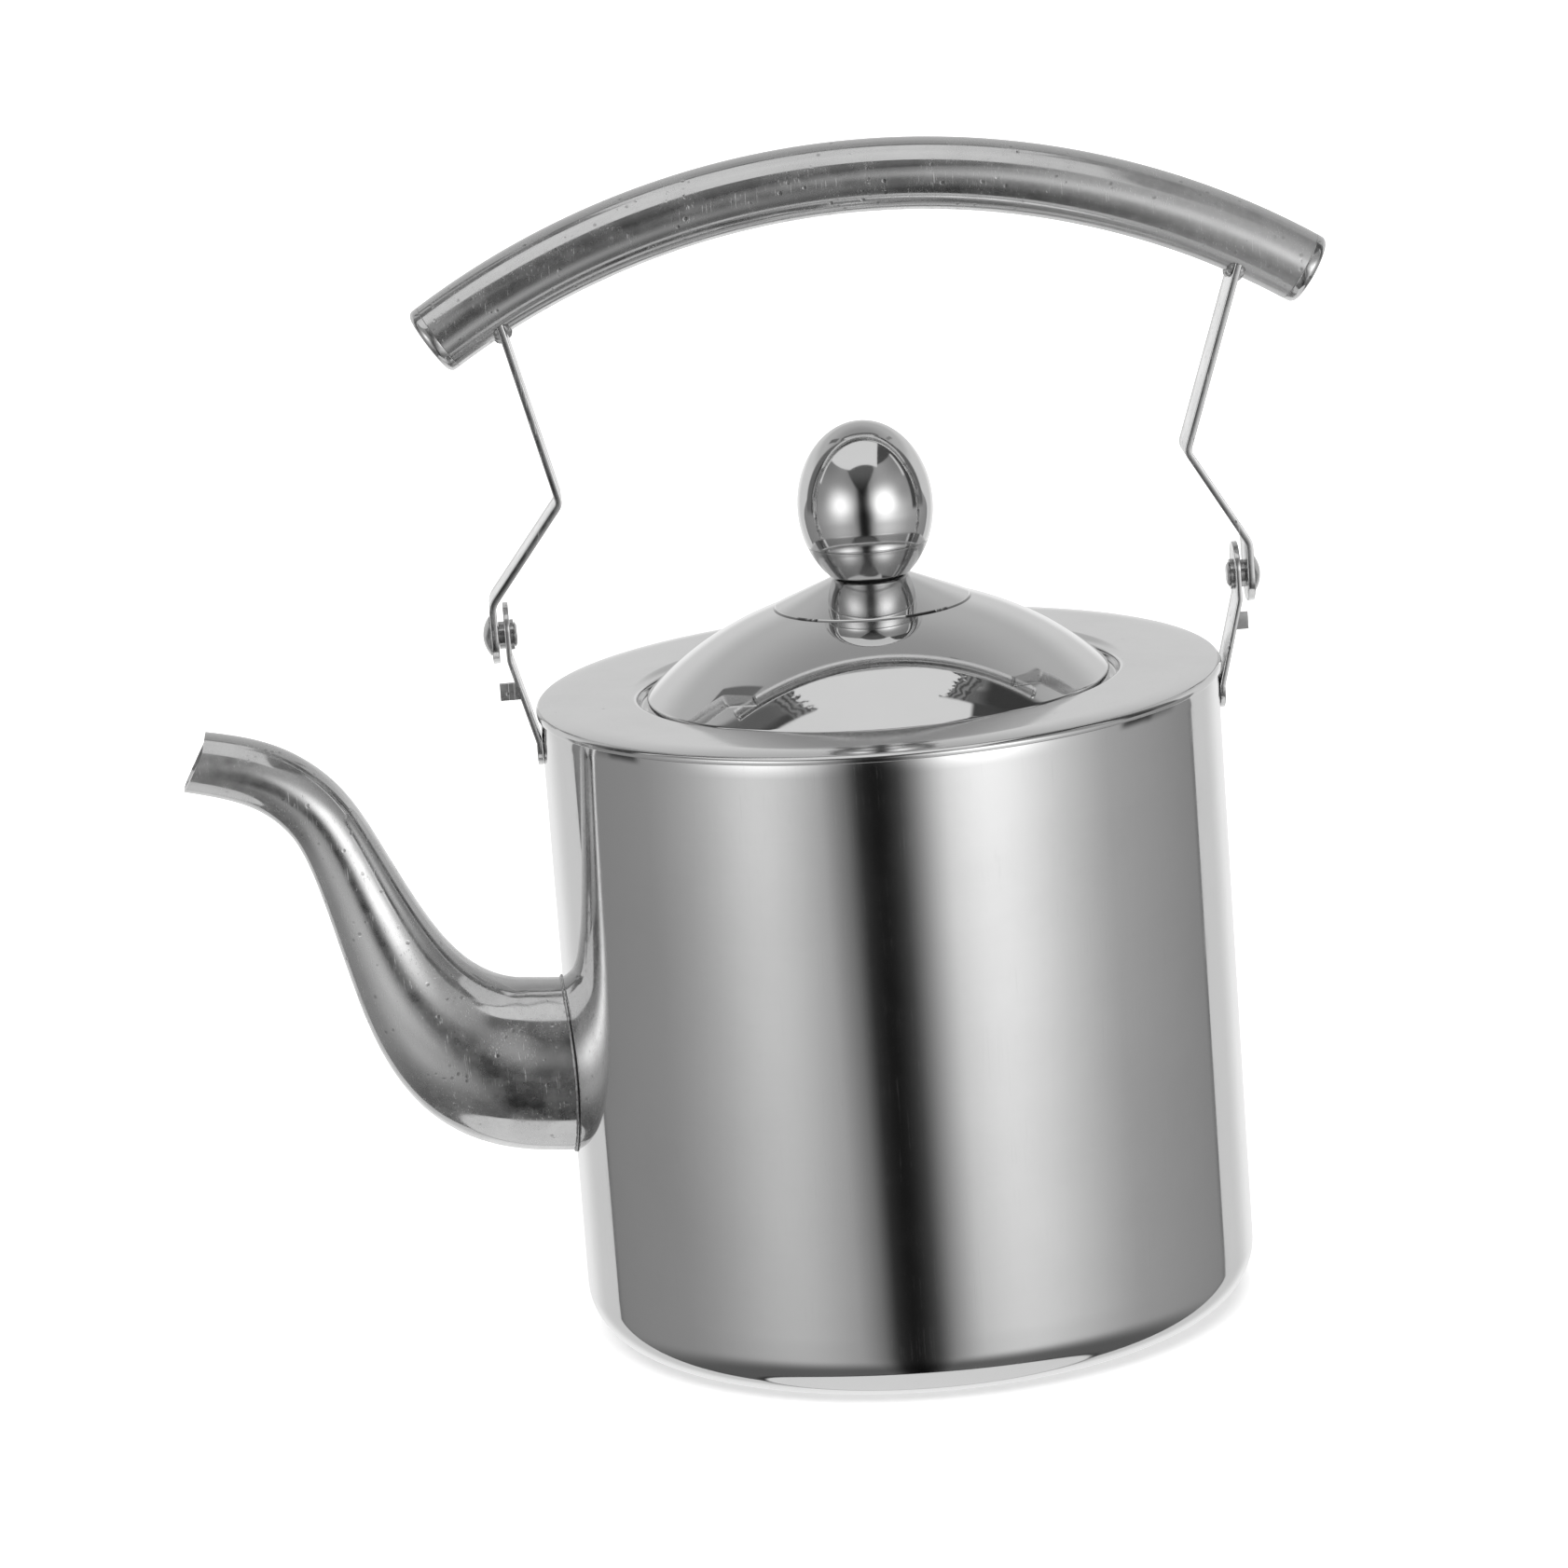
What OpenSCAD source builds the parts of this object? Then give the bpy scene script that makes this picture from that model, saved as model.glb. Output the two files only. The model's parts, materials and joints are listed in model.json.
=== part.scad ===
// Gooseneck kettle: drawn steel body, recessed deck, lift-off lid with an egg knob,
// and a riveted bail with an arched tube grip. Millimetres, +Z up, spout towards -X.
// The origin is the centre of the flat base.

/* [Body] */
// Outer radius of the drawn body
body_r = 69.25; // [67:0.05:71]
// Height of the deck's flat top above the base
deck_z = 133.5; // [125:0.5:142]
// Outer radius of the rounded edge between base and wall
base_edge_r = 10.5; // [6:0.5:16]
// Sheet thickness of the body
body_t = 0.8; // [0.6:0.1:1.2]

/* [Deck] */
// Sheet thickness of the deck, lid and knob
sheet_t = 0.65; // [0.5:0.05:0.7]
// Width of the band that wraps over the body's top edge
deck_band = 2.1; // [1.5:0.1:4]
// Radius of the lid recess, at the middle of its wall
recess_r = 49.2; // [48.6:0.1:52]
// Depth of the ledge that carries the lid, below the deck
ledge_drop = 3.4; // [2.5:0.1:5]
// Radius of the mouth, at the middle of its collar
mouth_r = 44.2; // [42:0.1:45]
// Depth of the mouth collar below the ledge
mouth_depth = 5.5; // [3:0.5:10]

/* [Lid] */
// Outer radius of the lid's rim
lid_r = 47.2; // [46:0.1:47.8]
// Height of the lid's shoulder above the deck
lid_shoulder = -0.8; // [-1.5:0.1:1]
// Radius of curvature of the dome
dome_r = 68; // [55:1:90]
// Radius of the stamped step
step_r = 19.7; // [14:0.1:26]
// Height of the stamped step above the deck
step_h = 15.9; // [12:0.1:18]
// Depth of the stamped step
step_drop = 0.5; // [0.3:0.1:1]
// Height of the flat seat under the knob, above the deck
seat_h = 21.1; // [18:0.1:23]
// Radius of the flat seat under the knob
seat_r = 7.6; // [6:0.1:9]
// Outer radius of the collar that locates the lid in the mouth
collar_r = 42.6; // [40:0.1:43]
// Length of the collar below the lid's rim
collar_drop = 5; // [3:0.5:8]

/* [Knob] */
// Widest radius of the egg-shaped knob
knob_r = 13.8; // [10:0.1:18]
// Half height of the full egg
knob_half = 17.4; // [14:0.1:22]
// Height of the knob's widest circle above its base
knob_waist = 13.9; // [10:0.1:15]
// Height of the seam above the knob's base
knob_seam = 6.4; // [4:0.1:9]
// Radius of the thread of the knob screw
knob_screw_r = 1.95; // [1.5:0.05:2.5]

/* [Spout] */
// Sheet thickness of the spout
spout_t = 0.9; // [0.7:0.1:1.2]
// Height of the spout's root above the base
spout_z = 57.5; // [50:0.5:65]
// How far the mouth's lower lip leads its upper lip
spout_bevel = 3.4; // [0:0.1:6]
// Height of the opening through the body wall
spout_port_h = 31; // [24:0.5:32]
// Width of the opening through the body wall
spout_port_w = 21; // [16:0.5:22]

/* [Ears and pivots] */
// Height of the bail pivot above the base
pivot_z = 148.4; // [145:0.1:155]
// Middle of the ear strip at the pivot, from the centre plane
ear_x = 74.4; // [73:0.1:76]
// Width of the ear strip
ear_w = 10.5; // [8:0.1:12]
// Thickness of the ear strip
ear_t = 1.1; // [0.8:0.1:1.5]
// Length of the ear above the pivot
ear_top = 6.7; // [6:0.1:9]
// Length of the tongue welded to the body, below the deck
tongue_drop = 12.5; // [9:0.5:16]
// Height of the stop tab
tab_h = 3.6; // [2:0.1:5]
// Reach of the stop tab from the middle of the ear strip
tab_reach = 4.1; // [2:0.1:4.5]
// Distance of the stop tab's top below the pivot
tab_drop = 9; // [8.5:0.1:11]
// Radius of the rivet's shank, on which the bail turns
shank_r = 1.9; // [1.5:0.05:2.2]
// Radius of the rivet's domed head
head_r = 4.2; // [3.5:0.1:5]
// Height of the rivet's domed head
head_h = 1.6; // [1:0.1:2.5]
// Stand-off between ear and strap, filled by the spacer
spacer_t = 1.25; // [0.8:0.05:2]
// Running clearance of the strap on the rivet, each way
run_gap = 0.06; // [0.03:0.01:0.1]

/* [Bail] */
// Width of the flat straps
strap_w = 11.4; // [9:0.1:13]
// Thickness of the flat straps
strap_t = 1.45; // [1:0.05:2]
// Distance of the strap's knee from the centre plane
knee_x = 63.6; // [62:0.1:66]
// Height of the strap's knee above the pivot
knee_h = 26.9; // [24:0.1:29]
// Distance of the strap's top from the centre plane
strap_top_x = 74.8; // [72:0.1:78]
// Outer radius of the grip tube
grip_r = 7.3; // [6:0.1:9]
// Wall thickness of the grip tube
grip_t = 0.8; // [0.6:0.1:1.5]
// Radius of the grip's arch, at the tube's middle
arch_r = 161.3; // [150:0.1:180]
// Height of the arch's crown above the pivot, at the tube's middle
crown_h = 87.5; // [84:0.1:95]
// Half angle of the arch, end caps included
arch_half = 33.5; // [30:0.1:36]
// Length of the end caps
cap_len = 2.5; // [2:0.1:5]
// Set of the hand-bent grip towards the rear
grip_set = 4; // [0:0.1:5]

/* [Hidden] */
$fn = 96;

FRONT = -1; // the spout's side
REAR = 1;
fit_gap = 0.05; // between pieces that are welded, pressed or seated
seam_gap = 0.1; // between the body's wall and the deck's band
bend_steps = 6; // straight runs in each bend of a sheet

// Derived heights and radii
deck_r = body_r + seam_gap + sheet_t;
ledge_z = deck_z - ledge_drop;
seat_z = deck_z + seat_h;
step_z = deck_z + step_h;
rim_gap = 0.15;
rim_z = ledge_z + rim_gap;
gasket_t = 0.4;
knob_z = seat_z + gasket_t;
knob_mid_z = knob_z + knob_waist;
seam_z = knob_z + knob_seam;
screw_hole_r = knob_screw_r + 0.15;
tongue_x = body_r + fit_gap + ear_t / 2;
strap_x = ear_x + ear_t / 2 + spacer_t + run_gap + strap_t / 2;
head_x = strap_x + strap_t / 2 + run_gap;
arch_z = pivot_z + crown_h - arch_r;
cap_angle = cap_len * 180 / (PI * arch_r);
tube_half = arch_half - cap_angle;

// ---- Sheet metal: a path through corners with round bends, given a thickness ----

function unit(v) = v / norm(v);
function left_of(v) = [-v[1], v[0]];
function turned(v, a) = [v[0] * cos(a) - v[1] * sin(a), v[0] * sin(a) + v[1] * cos(a)];
function reversed(list) = [for (i = [len(list) - 1 : -1 : 0]) list[i]];

// Points along the bend of radius r at corner p
function bend(before, p, after, r) =
    let (u = unit(p - before),
         v = unit(after - p),
         turn = atan2(u[0] * v[1] - u[1] * v[0], u * v),
         start = p - u * r * tan(abs(turn) / 2),
         centre = start + left_of(u) * r * sign(turn))
    [for (i = [0 : bend_steps]) centre + turned(start - centre, turn * i / bend_steps)];

// Path through corners [x, y, bend radius]; a radius of 0 keeps the corner sharp
function bent_path(corners) =
    let (flat = [for (c = corners) [c[0], c[1]]], last = len(corners) - 1)
    [for (i = [0 : last])
        each (i == 0 || i == last || corners[i][2] == 0) ? [flat[i]]
            : bend(flat[i - 1], flat[i], flat[i + 1], corners[i][2])];

// Path moved sideways by d, to its left where d is positive
function offset_path(path, d) =
    let (last = len(path) - 1)
    [for (i = [0 : last])
        let (a = left_of(unit(path[min(i + 1, last)] - path[min(i, last - 1)])),
             b = left_of(unit(path[max(i, 1)] - path[max(i - 1, 0)])),
             m = unit(a + b))
        path[i] + m * d / (m * a)];

// Outline of a sheet that lies from `low` to `high` to the left of a path
function ribbon(path, low, high) = concat(offset_path(path, high), reversed(offset_path(path, low)));

// Points on the arc of radius r from a to b, bulging to the left of the way from a to b
function arc(a, b, r, steps) =
    let (chord = norm(b - a),
         centre = (a + b) / 2 - left_of(unit(b - a)) * sqrt(r * r - chord * chord / 4),
         sweep = -2 * asin(chord / (2 * r)))
    [for (i = [0 : steps]) centre + turned(a - centre, sweep * i / steps)];

// Outline in X and Z, made `w` wide along Y
module across(w) {
    rotate([90, 0, 0]) linear_extrude(w, center = true) children();
}

// Outline in Y and Z, pushed through X from x0 to x1
module along_x(x0, x1) {
    translate([x0, 0, 0]) rotate([90, 0, 90]) linear_extrude(x1 - x0) children();
}

// Pieces drawn at the rear pivot; the front ones are the same piece turned round
module at_side(side) {
    rotate([0, 0, side == REAR ? 0 : 180]) children();
}

// Revolved outline [radius, x] about the pivot's axis
module about_pivot() {
    translate([0, 0, pivot_z]) rotate([0, 90, 0]) rotate_extrude() children();
}

// Frame on the middle of the grip tube, `a` degrees from the crown, X along the tube
module at_arch(a) {
    translate([grip_set, 0, arch_z]) rotate([0, a, 0]) translate([0, 0, arch_r]) children();
}

// ---- Body ----

module body_shell() {
    wall = bent_path([
        [0, body_t / 2, 0],
        [body_r - body_t / 2, body_t / 2, base_edge_r - body_t / 2],
        [body_r - body_t / 2, deck_z - sheet_t - 2 * seam_gap, 0]]);
    round_h = spout_port_h - spout_port_w;
    color("silver")
    difference() {
        rotate_extrude() polygon(ribbon(wall, -body_t / 2, body_t / 2));
        along_x(-body_r - 5, -body_r + 10) {
            translate([-spout_port_w / 2, spout_z - round_h / 2]) square([spout_port_w, round_h]);
            for (end = [-1, 1])
                translate([0, spout_z + end * round_h / 2]) circle(d = spout_port_w);
        }
    }
}

module deck_ring() {
    middle = sheet_t / 2;
    path = bent_path([
        [deck_r - middle, deck_z - deck_band, 0],
        [deck_r - middle, deck_z - middle, 0.7],
        [recess_r, deck_z - middle, 1.6],
        [recess_r, ledge_z - middle, 1.0],
        [mouth_r, ledge_z - middle, 1.0],
        [mouth_r, ledge_z - mouth_depth, 0]]);
    color("gainsboro") rotate_extrude() polygon(ribbon(path, -middle, middle));
}

// ---- Spout: rings of points along a spline, outside and inside ----

// Stations [x, z, half height, half width] of the outside, from the body to the tip
spout_stations = [
    [-body_r, spout_z, 18.2, 13.5],
    [-79.5, 58.4, 18.0, 13.5],
    [-88.6, 62.6, 17.0, 13.2],
    [-96.9, 71.4, 13.4, 11.4],
    [-103.7, 84.6, 9.9, 9.1],
    [-111.0, 105.0, 7.5, 7.4],
    [-116.6, 116.0, 7.1, 7.0],
    [-126.4, 123.9, 6.8, 6.8],
    [-139.6, 127.4, 6.4, 6.4]];
spout_sides = 28;
spout_rings = 4; // rings for each station

// Point of the spline through p, a share t of the way from p[i] to p[i + 1]
function spline(p, i, t) =
    let (a = i > 0 ? p[i - 1] : 2 * p[0] - p[1],
         b = p[i],
         c = p[i + 1],
         d = i + 2 < len(p) ? p[i + 2] : 2 * c - b)
    (2 * b + (c - a) * t + (2 * a - 5 * b + 4 * c - d) * t * t + (3 * b - a - 3 * c + d) * t * t * t) / 2;

spout_line = [
    for (i = [0 : len(spout_stations) - 2], k = [0 : spout_rings - 1])
        spline(spout_stations, i, k / spout_rings),
    spout_stations[len(spout_stations) - 1]];

// X of the body's outside, just clear of it, at distance y from the middle plane
function saddle_x(y) = -sqrt(pow(body_r + fit_gap, 2) - y * y);

// Ring i of the spout, `inset` inside its outside
function spout_ring(i, inset) =
    let (last = len(spout_line) - 1,
         s = spout_line[i],
         ahead = spout_line[min(i + 1, last)] - spout_line[max(i - 1, 0)],
         way = i == 0 ? [-1, 0] : unit([ahead[0], ahead[1]]),
         up = [way[1], -way[0]])
    [for (k = [0 : spout_sides - 1])
        let (a = 360 * k / spout_sides,
             y = (s[3] - inset) * cos(a),
             rise = (s[2] - inset) * sin(a),
             lead = i == last ? -spout_bevel / 2 * sin(a) : 0,
             p = [s[0], s[1]] + up * rise + way * lead)
        [i == 0 ? saddle_x(y) : p[0], y, p[1]]];

// Closed skin through rings of equal length, the last ring joined to the first
module ring_skin(rings) {
    n = len(rings);
    m = len(rings[0]);
    polyhedron(
        points = [for (ring = rings) each ring],
        faces = [
            for (i = [0 : n - 1], k = [0 : m - 1])
                let (j = (i + 1) % n, l = (k + 1) % m)
                each [[i * m + k, j * m + k, j * m + l], [i * m + k, j * m + l, i * m + l]]],
        convexity = 8);
}

module spout_tube() {
    last = len(spout_line) - 1;
    color("silver")
    ring_skin(concat(
        [for (i = [0 : last]) spout_ring(i, 0)],
        [for (i = [last : -1 : 0]) spout_ring(i, spout_t)]));
}

// Quarter-round bead in the corner between spout and body
module spout_weld() {
    bead_r = 0.8;
    bead_sides = 48;
    s = spout_stations[0];
    color("dimgray")
    ring_skin([
        for (i = [0 : bead_sides - 1])
            let (a = 360 * i / bead_sides,
                 y = s[3] * cos(a),
                 foot = [saddle_x(y), y, s[1] + s[2] * sin(a)],
                 out = unit([0, cos(a) / s[3], sin(a) / s[2]]),
                 off = unit([foot[0], foot[1], 0]),
                 corner = foot + (out + off) * fit_gap)
            [corner, for (q = [0 : 22.5 : 90]) corner + (out * cos(q) + off * sin(q)) * bead_r]]);
}

// ---- Ears and pivots ----

ear_lean_z = deck_z - 7; // where the ear leaves the body wall

module ear(side) {
    path = bent_path([
        [tongue_x, deck_z - tongue_drop, 0],
        [tongue_x, ear_lean_z, 3],
        [ear_x, pivot_z - 4.5, 5],
        [ear_x, pivot_z + ear_top, 0]]);
    round_r = ear_w / 2;
    low_z = deck_z - tongue_drop + round_r;
    top_z = pivot_z + ear_top - round_r;
    lean = (ear_x - tongue_x) / (pivot_z - 4.5 - ear_lean_z);
    tab_x = tongue_x + (pivot_z - tab_drop - tab_h / 2 - ear_lean_z) * lean;
    color("gainsboro")
    at_side(side)
    difference() {
        union() {
            intersection() {
                across(ear_w) polygon(ribbon(path, -ear_t / 2, ear_t / 2));
                along_x(body_r - 2, ear_x + 3) {
                    translate([-round_r, low_z]) square([ear_w, top_z - low_z]);
                    for (z = [low_z, top_z])
                        translate([0, z]) circle(round_r);
                }
            }
            translate([tab_x, round_r - ear_t, pivot_z - tab_drop - tab_h])
                cube([tab_reach, ear_t, tab_h]);
        }
        about_pivot() translate([0, ear_x - 3]) square([shank_r + fit_gap, 6]);
    }
}

module ear_front() { ear(FRONT); }
module ear_rear() { ear(REAR); }

washer_r = 3.1;
washer_t = 0.7;

// Domed rivet: its shank passes washer, ear, spacer and strap, and is upset inside
module rivet(side) {
    upset_r = 2.5;
    upset_h = 0.6;
    washer_x = ear_x - ear_t / 2 - washer_t - 2 * fit_gap;
    dome_curve_r = (head_r * head_r + head_h * head_h) / (2 * head_h);
    dome = arc([0, head_x + head_h], [head_r, head_x], dome_curve_r, 10);
    color("dimgray")
    at_side(side)
    about_pivot() polygon(concat(
        [[0, washer_x - upset_h], [upset_r - 0.6, washer_x - upset_h], [upset_r, washer_x - 0.2],
         [upset_r, washer_x], [shank_r, washer_x], [shank_r, head_x]],
        reversed(dome)));
}

module rivet_front() { rivet(FRONT); }
module rivet_rear() { rivet(REAR); }

// Flat ring on the rivet's shank, from x to x + t
module shank_ring(side, x, r, t) {
    at_side(side)
    about_pivot() translate([shank_r + fit_gap, x]) square([r - shank_r - fit_gap, t]);
}

module spacer(side) {
    color("dimgray") shank_ring(side, ear_x + ear_t / 2 + fit_gap, 2.8, spacer_t - 2 * fit_gap);
}

module spacer_front() { spacer(FRONT); }
module spacer_rear() { spacer(REAR); }

module rivet_washer(side) {
    color("gray") shank_ring(side, ear_x - ear_t / 2 - fit_gap - washer_t, washer_r, washer_t);
}

module rivet_washer_front() { rivet_washer(FRONT); }
module rivet_washer_rear() { rivet_washer(REAR); }

// ---- Bail ----

strap_top_set = 0.95 * grip_set; // the set grows with height above the pivot
knee_set = 0.48 * grip_set;

// Sideways place and angle from the crown of a strap's top, on the tube
function strap_top(side) = side * strap_top_x + strap_top_set;
function strap_angle(side) = asin((strap_top(side) - grip_set) / arch_r);

// Knee of a strap, and its top end inside the tube's outline
function knee_point(side) = [side * knee_x + knee_set, pivot_z + knee_h];
function end_point(side) =
    [strap_top(side), arch_z + arch_r * cos(strap_angle(side)) - grip_r / 2];

// Angle between a strap's upper run and the tube's radius where it is welded
function strap_lean(side) =
    let (run = end_point(side) - knee_point(side))
    atan2(run[0], run[1]) - strap_angle(side);

function strap_path(side) =
    bent_path([
        [side * strap_x, pivot_z - strap_w / 2, 0],
        [side * strap_x, pivot_z + 7.1, 4],
        [each knee_point(side), 2.5],
        [each end_point(side), 0]]);

module strap(side) {
    round_r = strap_w / 2;
    color("lightgray")
    difference() {
        intersection() {
            across(strap_w) polygon(ribbon(strap_path(side), -strap_t / 2, strap_t / 2));
            along_x(-100, 100) {
                translate([0, pivot_z]) circle(round_r);
                translate([-round_r, pivot_z]) square([strap_w, crown_h]);
            }
        }
        at_side(side)
            about_pivot() translate([0, strap_x - 3]) square([shank_r + run_gap, 6]);
        at_arch(strap_angle(side))
            rotate([0, 90, 0]) cylinder(r = grip_r + fit_gap, h = 30, center = true);
    }
}

module strap_front() { strap(FRONT); }
module strap_rear() { strap(REAR); }

// Low bead round the tube on both faces of the strap, cut clear of the strap itself
module strap_weld(side) {
    bead_w = 1.3; // beyond each face of the strap
    bead_h = 1.3;
    bead_sweep = 96;
    lean = strap_lean(side);
    end = turned([0, -grip_r / 2], strap_angle(side)); // the strap's end in the arch's frame
    seat_x = end[0] - (grip_r + end[1]) * tan(lean); // where the strap crosses the tube's surface
    seat_angle = strap_angle(side) + atan(seat_x / (arch_r - grip_r));
    half_w = strap_t / 2 + bead_w;
    color("gray")
    difference() {
        at_arch(seat_angle)
            rotate([0, 90, 0])
            rotate([0, 0, -bead_sweep / 2])
            rotate_extrude(angle = bead_sweep)
            polygon([for (q = [90 : -15 : -90])
                [grip_r + fit_gap + bead_h * cos(q), half_w * sin(q)]]);
        at_arch(strap_angle(side))
            translate([end[0], 0, end[1]])
            rotate([0, lean, 0])
            cube([strap_t + 2 * fit_gap, 4 * grip_r, 4 * grip_r], center = true);
    }
}

module strap_weld_front() { strap_weld(FRONT); }
module strap_weld_rear() { strap_weld(REAR); }

module grip_tube() {
    color("silver")
    translate([grip_set, 0, arch_z])
    rotate([90, 0, 0])
    rotate([0, 0, 90 - tube_half])
    rotate_extrude(angle = 2 * tube_half)
    translate([arch_r, 0])
    difference() {
        circle(grip_r);
        circle(grip_r - grip_t);
    }
}

// Pressed cap: a flush skirt with a round edge, and a spigot inside the tube
module grip_cap(side) {
    edge_r = 1.3;
    spigot_r = grip_r - grip_t - 0.12;
    spigot_len = 4;
    corner = [for (a = [0 : 15 : 90])
        [grip_r - edge_r + edge_r * cos(a), cap_len - edge_r + edge_r * sin(a)]];
    color("silver")
    at_arch(side * tube_half)
    rotate([0, side * 90, 0])
    rotate_extrude()
    polygon(concat(
        [[spigot_r, -spigot_len], [spigot_r, fit_gap], [grip_r, fit_gap]],
        corner,
        [[0, cap_len], [0, cap_len - grip_t], [spigot_r - grip_t, cap_len - grip_t],
         [spigot_r - grip_t, -spigot_len]]));
}

module grip_cap_front() { grip_cap(FRONT); }
module grip_cap_rear() { grip_cap(REAR); }

// ---- Lid ----

dome_in = [step_r + 0.4, step_z - step_drop];
dome_out = [lid_r, deck_z + lid_shoulder];
dome_arc = arc(dome_in, dome_out, dome_r, 16);

module lid_dome() {
    path = bent_path(concat(
        [[screw_hole_r, seat_z, 0], [seat_r, seat_z, 2], [step_r, step_z, 0]],
        [for (i = [0 : len(dome_arc) - 2]) [dome_arc[i][0], dome_arc[i][1], 0]],
        [[dome_out[0], dome_out[1], 0.9], [lid_r, rim_z, 0]]));
    color("silver") rotate_extrude() polygon(ribbon(path, -sheet_t, 0));
}

// Height of the dome's underside at radius r
function dome_under_z(r) =
    let (chord = norm(dome_out - dome_in),
         centre = (dome_in + dome_out) / 2
             - left_of(unit(dome_out - dome_in)) * sqrt(dome_r * dome_r - chord * chord / 4))
    centre[1] + sqrt(pow(dome_r - sheet_t, 2) - pow(r - centre[0], 2));

module lid_collar() {
    middle = sheet_t / 2;
    low_z = rim_z - collar_drop;
    path = bent_path([
        [collar_r - 2.6, low_z, 0],
        [collar_r - middle, low_z, 1.2],
        [collar_r - middle, dome_under_z(collar_r) - 2 * fit_gap, 0]]);
    color("gainsboro") rotate_extrude() polygon(ribbon(path, -middle, middle));
}

// ---- Knob ----

// Angle at which the egg, `inset` inside its outside, crosses height z
function egg_angle(z, inset) = asin((z - knob_mid_z) / (knob_half - inset));

// Points of the egg from angle a0 to a1, `inset` inside its outside
function egg(a0, a1, inset, steps) =
    [for (i = [0 : steps])
        let (a = a0 + (a1 - a0) * i / steps)
        [a == 90 ? 0 : (knob_r - inset) * cos(a), knob_mid_z + (knob_half - inset) * sin(a)]];

module knob_shell() {
    color("silver")
    rotate_extrude()
    polygon(concat(
        egg(egg_angle(seam_z, 0), 90, 0, 24),
        reversed(egg(egg_angle(seam_z, sheet_t), 90, sheet_t, 24))));
}

// Lower cup, with a lip that the upper shell is pressed over
module knob_cup() {
    lip_h = 2;
    lip_in = sheet_t + fit_gap;
    inside = lip_in + sheet_t;
    shadow = 0.15;
    color("silver")
    rotate_extrude()
    polygon(concat(
        [[screw_hole_r, knob_z]],
        egg(egg_angle(knob_z, shadow), egg_angle(seam_z - shadow, shadow), shadow, 12),
        egg(egg_angle(seam_z - shadow, lip_in), egg_angle(seam_z + lip_h, lip_in), lip_in, 4),
        reversed(egg(egg_angle(knob_z + sheet_t, inside), egg_angle(seam_z + lip_h, inside), inside, 12)),
        [[screw_hole_r, knob_z + sheet_t]]));
}

insert_r = 4.4;
insert_h = 9;

// Threaded bush brazed in the cup
module knob_insert() {
    color("darkgray")
    translate([0, 0, knob_z + sheet_t + fit_gap])
    difference() {
        cylinder(r = insert_r, h = insert_h);
        translate([0, 0, -1]) cylinder(r = knob_screw_r + fit_gap, h = insert_h + 2);
    }
}

knob_washer_t = 0.8;

module knob_washer() {
    color("gray")
    translate([0, 0, seat_z - sheet_t - fit_gap - knob_washer_t])
    difference() {
        cylinder(r = 5.5, h = knob_washer_t);
        translate([0, 0, -1]) cylinder(r = screw_hole_r, h = knob_washer_t + 2);
    }
}

// Slotted pan-head screw from under the lid
module knob_screw() {
    pan_r = 3.8;
    pan_h = 2.2;
    seat = seat_z - sheet_t - knob_washer_t - 2 * fit_gap;
    color("gray")
    difference() {
        union() {
            translate([0, 0, seat - pan_h])
            rotate_extrude()
            polygon([[0, 0], [pan_r - 0.7, 0], [pan_r, 0.8], [pan_r, pan_h], [0, pan_h]]);
            translate([0, 0, seat - 0.1]) cylinder(r = knob_screw_r, h = 9.5);
        }
        translate([-pan_r - 1, -0.5, seat - pan_h - 1]) cube([2 * pan_r + 2, 1, 1.9]);
    }
}

// Thin gasket between knob and lid
module knob_seal() {
    color("black")
    translate([0, 0, seat_z + fit_gap])
    difference() {
        cylinder(r = seat_r - 0.9, h = gasket_t - 2 * fit_gap);
        translate([0, 0, -1]) cylinder(r = screw_hole_r, h = gasket_t + 2);
    }
}

body_shell();
deck_ring();
spout_tube();
spout_weld();
ear_front();
ear_rear();
rivet_front();
rivet_rear();
spacer_front();
spacer_rear();
rivet_washer_front();
rivet_washer_rear();
strap_front();
strap_rear();
strap_weld_front();
strap_weld_rear();
grip_tube();
grip_cap_front();
grip_cap_rear();
lid_dome();
lid_collar();
knob_shell();
knob_cup();
knob_insert();
knob_screw();
knob_washer();
knob_seal();
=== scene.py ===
"""Gooseneck kettle: smooth steel skins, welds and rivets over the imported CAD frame, in a plain studio.

Outlines are worked out in millimetres in the row frame and become metres in skin().
"""

import json
import math

import bmesh
import bpy
import numpy as np
from mathutils import Matrix, Vector


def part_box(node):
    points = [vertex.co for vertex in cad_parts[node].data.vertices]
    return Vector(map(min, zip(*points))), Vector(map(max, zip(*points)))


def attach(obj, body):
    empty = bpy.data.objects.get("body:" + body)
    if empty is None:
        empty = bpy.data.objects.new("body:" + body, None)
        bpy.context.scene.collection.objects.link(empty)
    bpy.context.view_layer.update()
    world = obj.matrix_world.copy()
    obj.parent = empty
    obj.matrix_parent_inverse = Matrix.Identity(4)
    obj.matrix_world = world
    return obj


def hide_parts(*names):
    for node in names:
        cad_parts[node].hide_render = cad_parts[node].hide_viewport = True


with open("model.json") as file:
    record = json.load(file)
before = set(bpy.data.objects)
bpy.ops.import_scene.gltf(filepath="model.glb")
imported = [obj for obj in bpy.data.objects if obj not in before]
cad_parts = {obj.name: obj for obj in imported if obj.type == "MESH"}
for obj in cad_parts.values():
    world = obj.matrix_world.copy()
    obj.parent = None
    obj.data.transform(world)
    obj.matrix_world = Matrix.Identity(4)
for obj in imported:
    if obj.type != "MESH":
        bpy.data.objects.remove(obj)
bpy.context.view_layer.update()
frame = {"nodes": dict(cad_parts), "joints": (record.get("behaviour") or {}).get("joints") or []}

MM = 0.001
FRONT, REAR = -1, 1  # the spout's side is FRONT, towards -X


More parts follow.
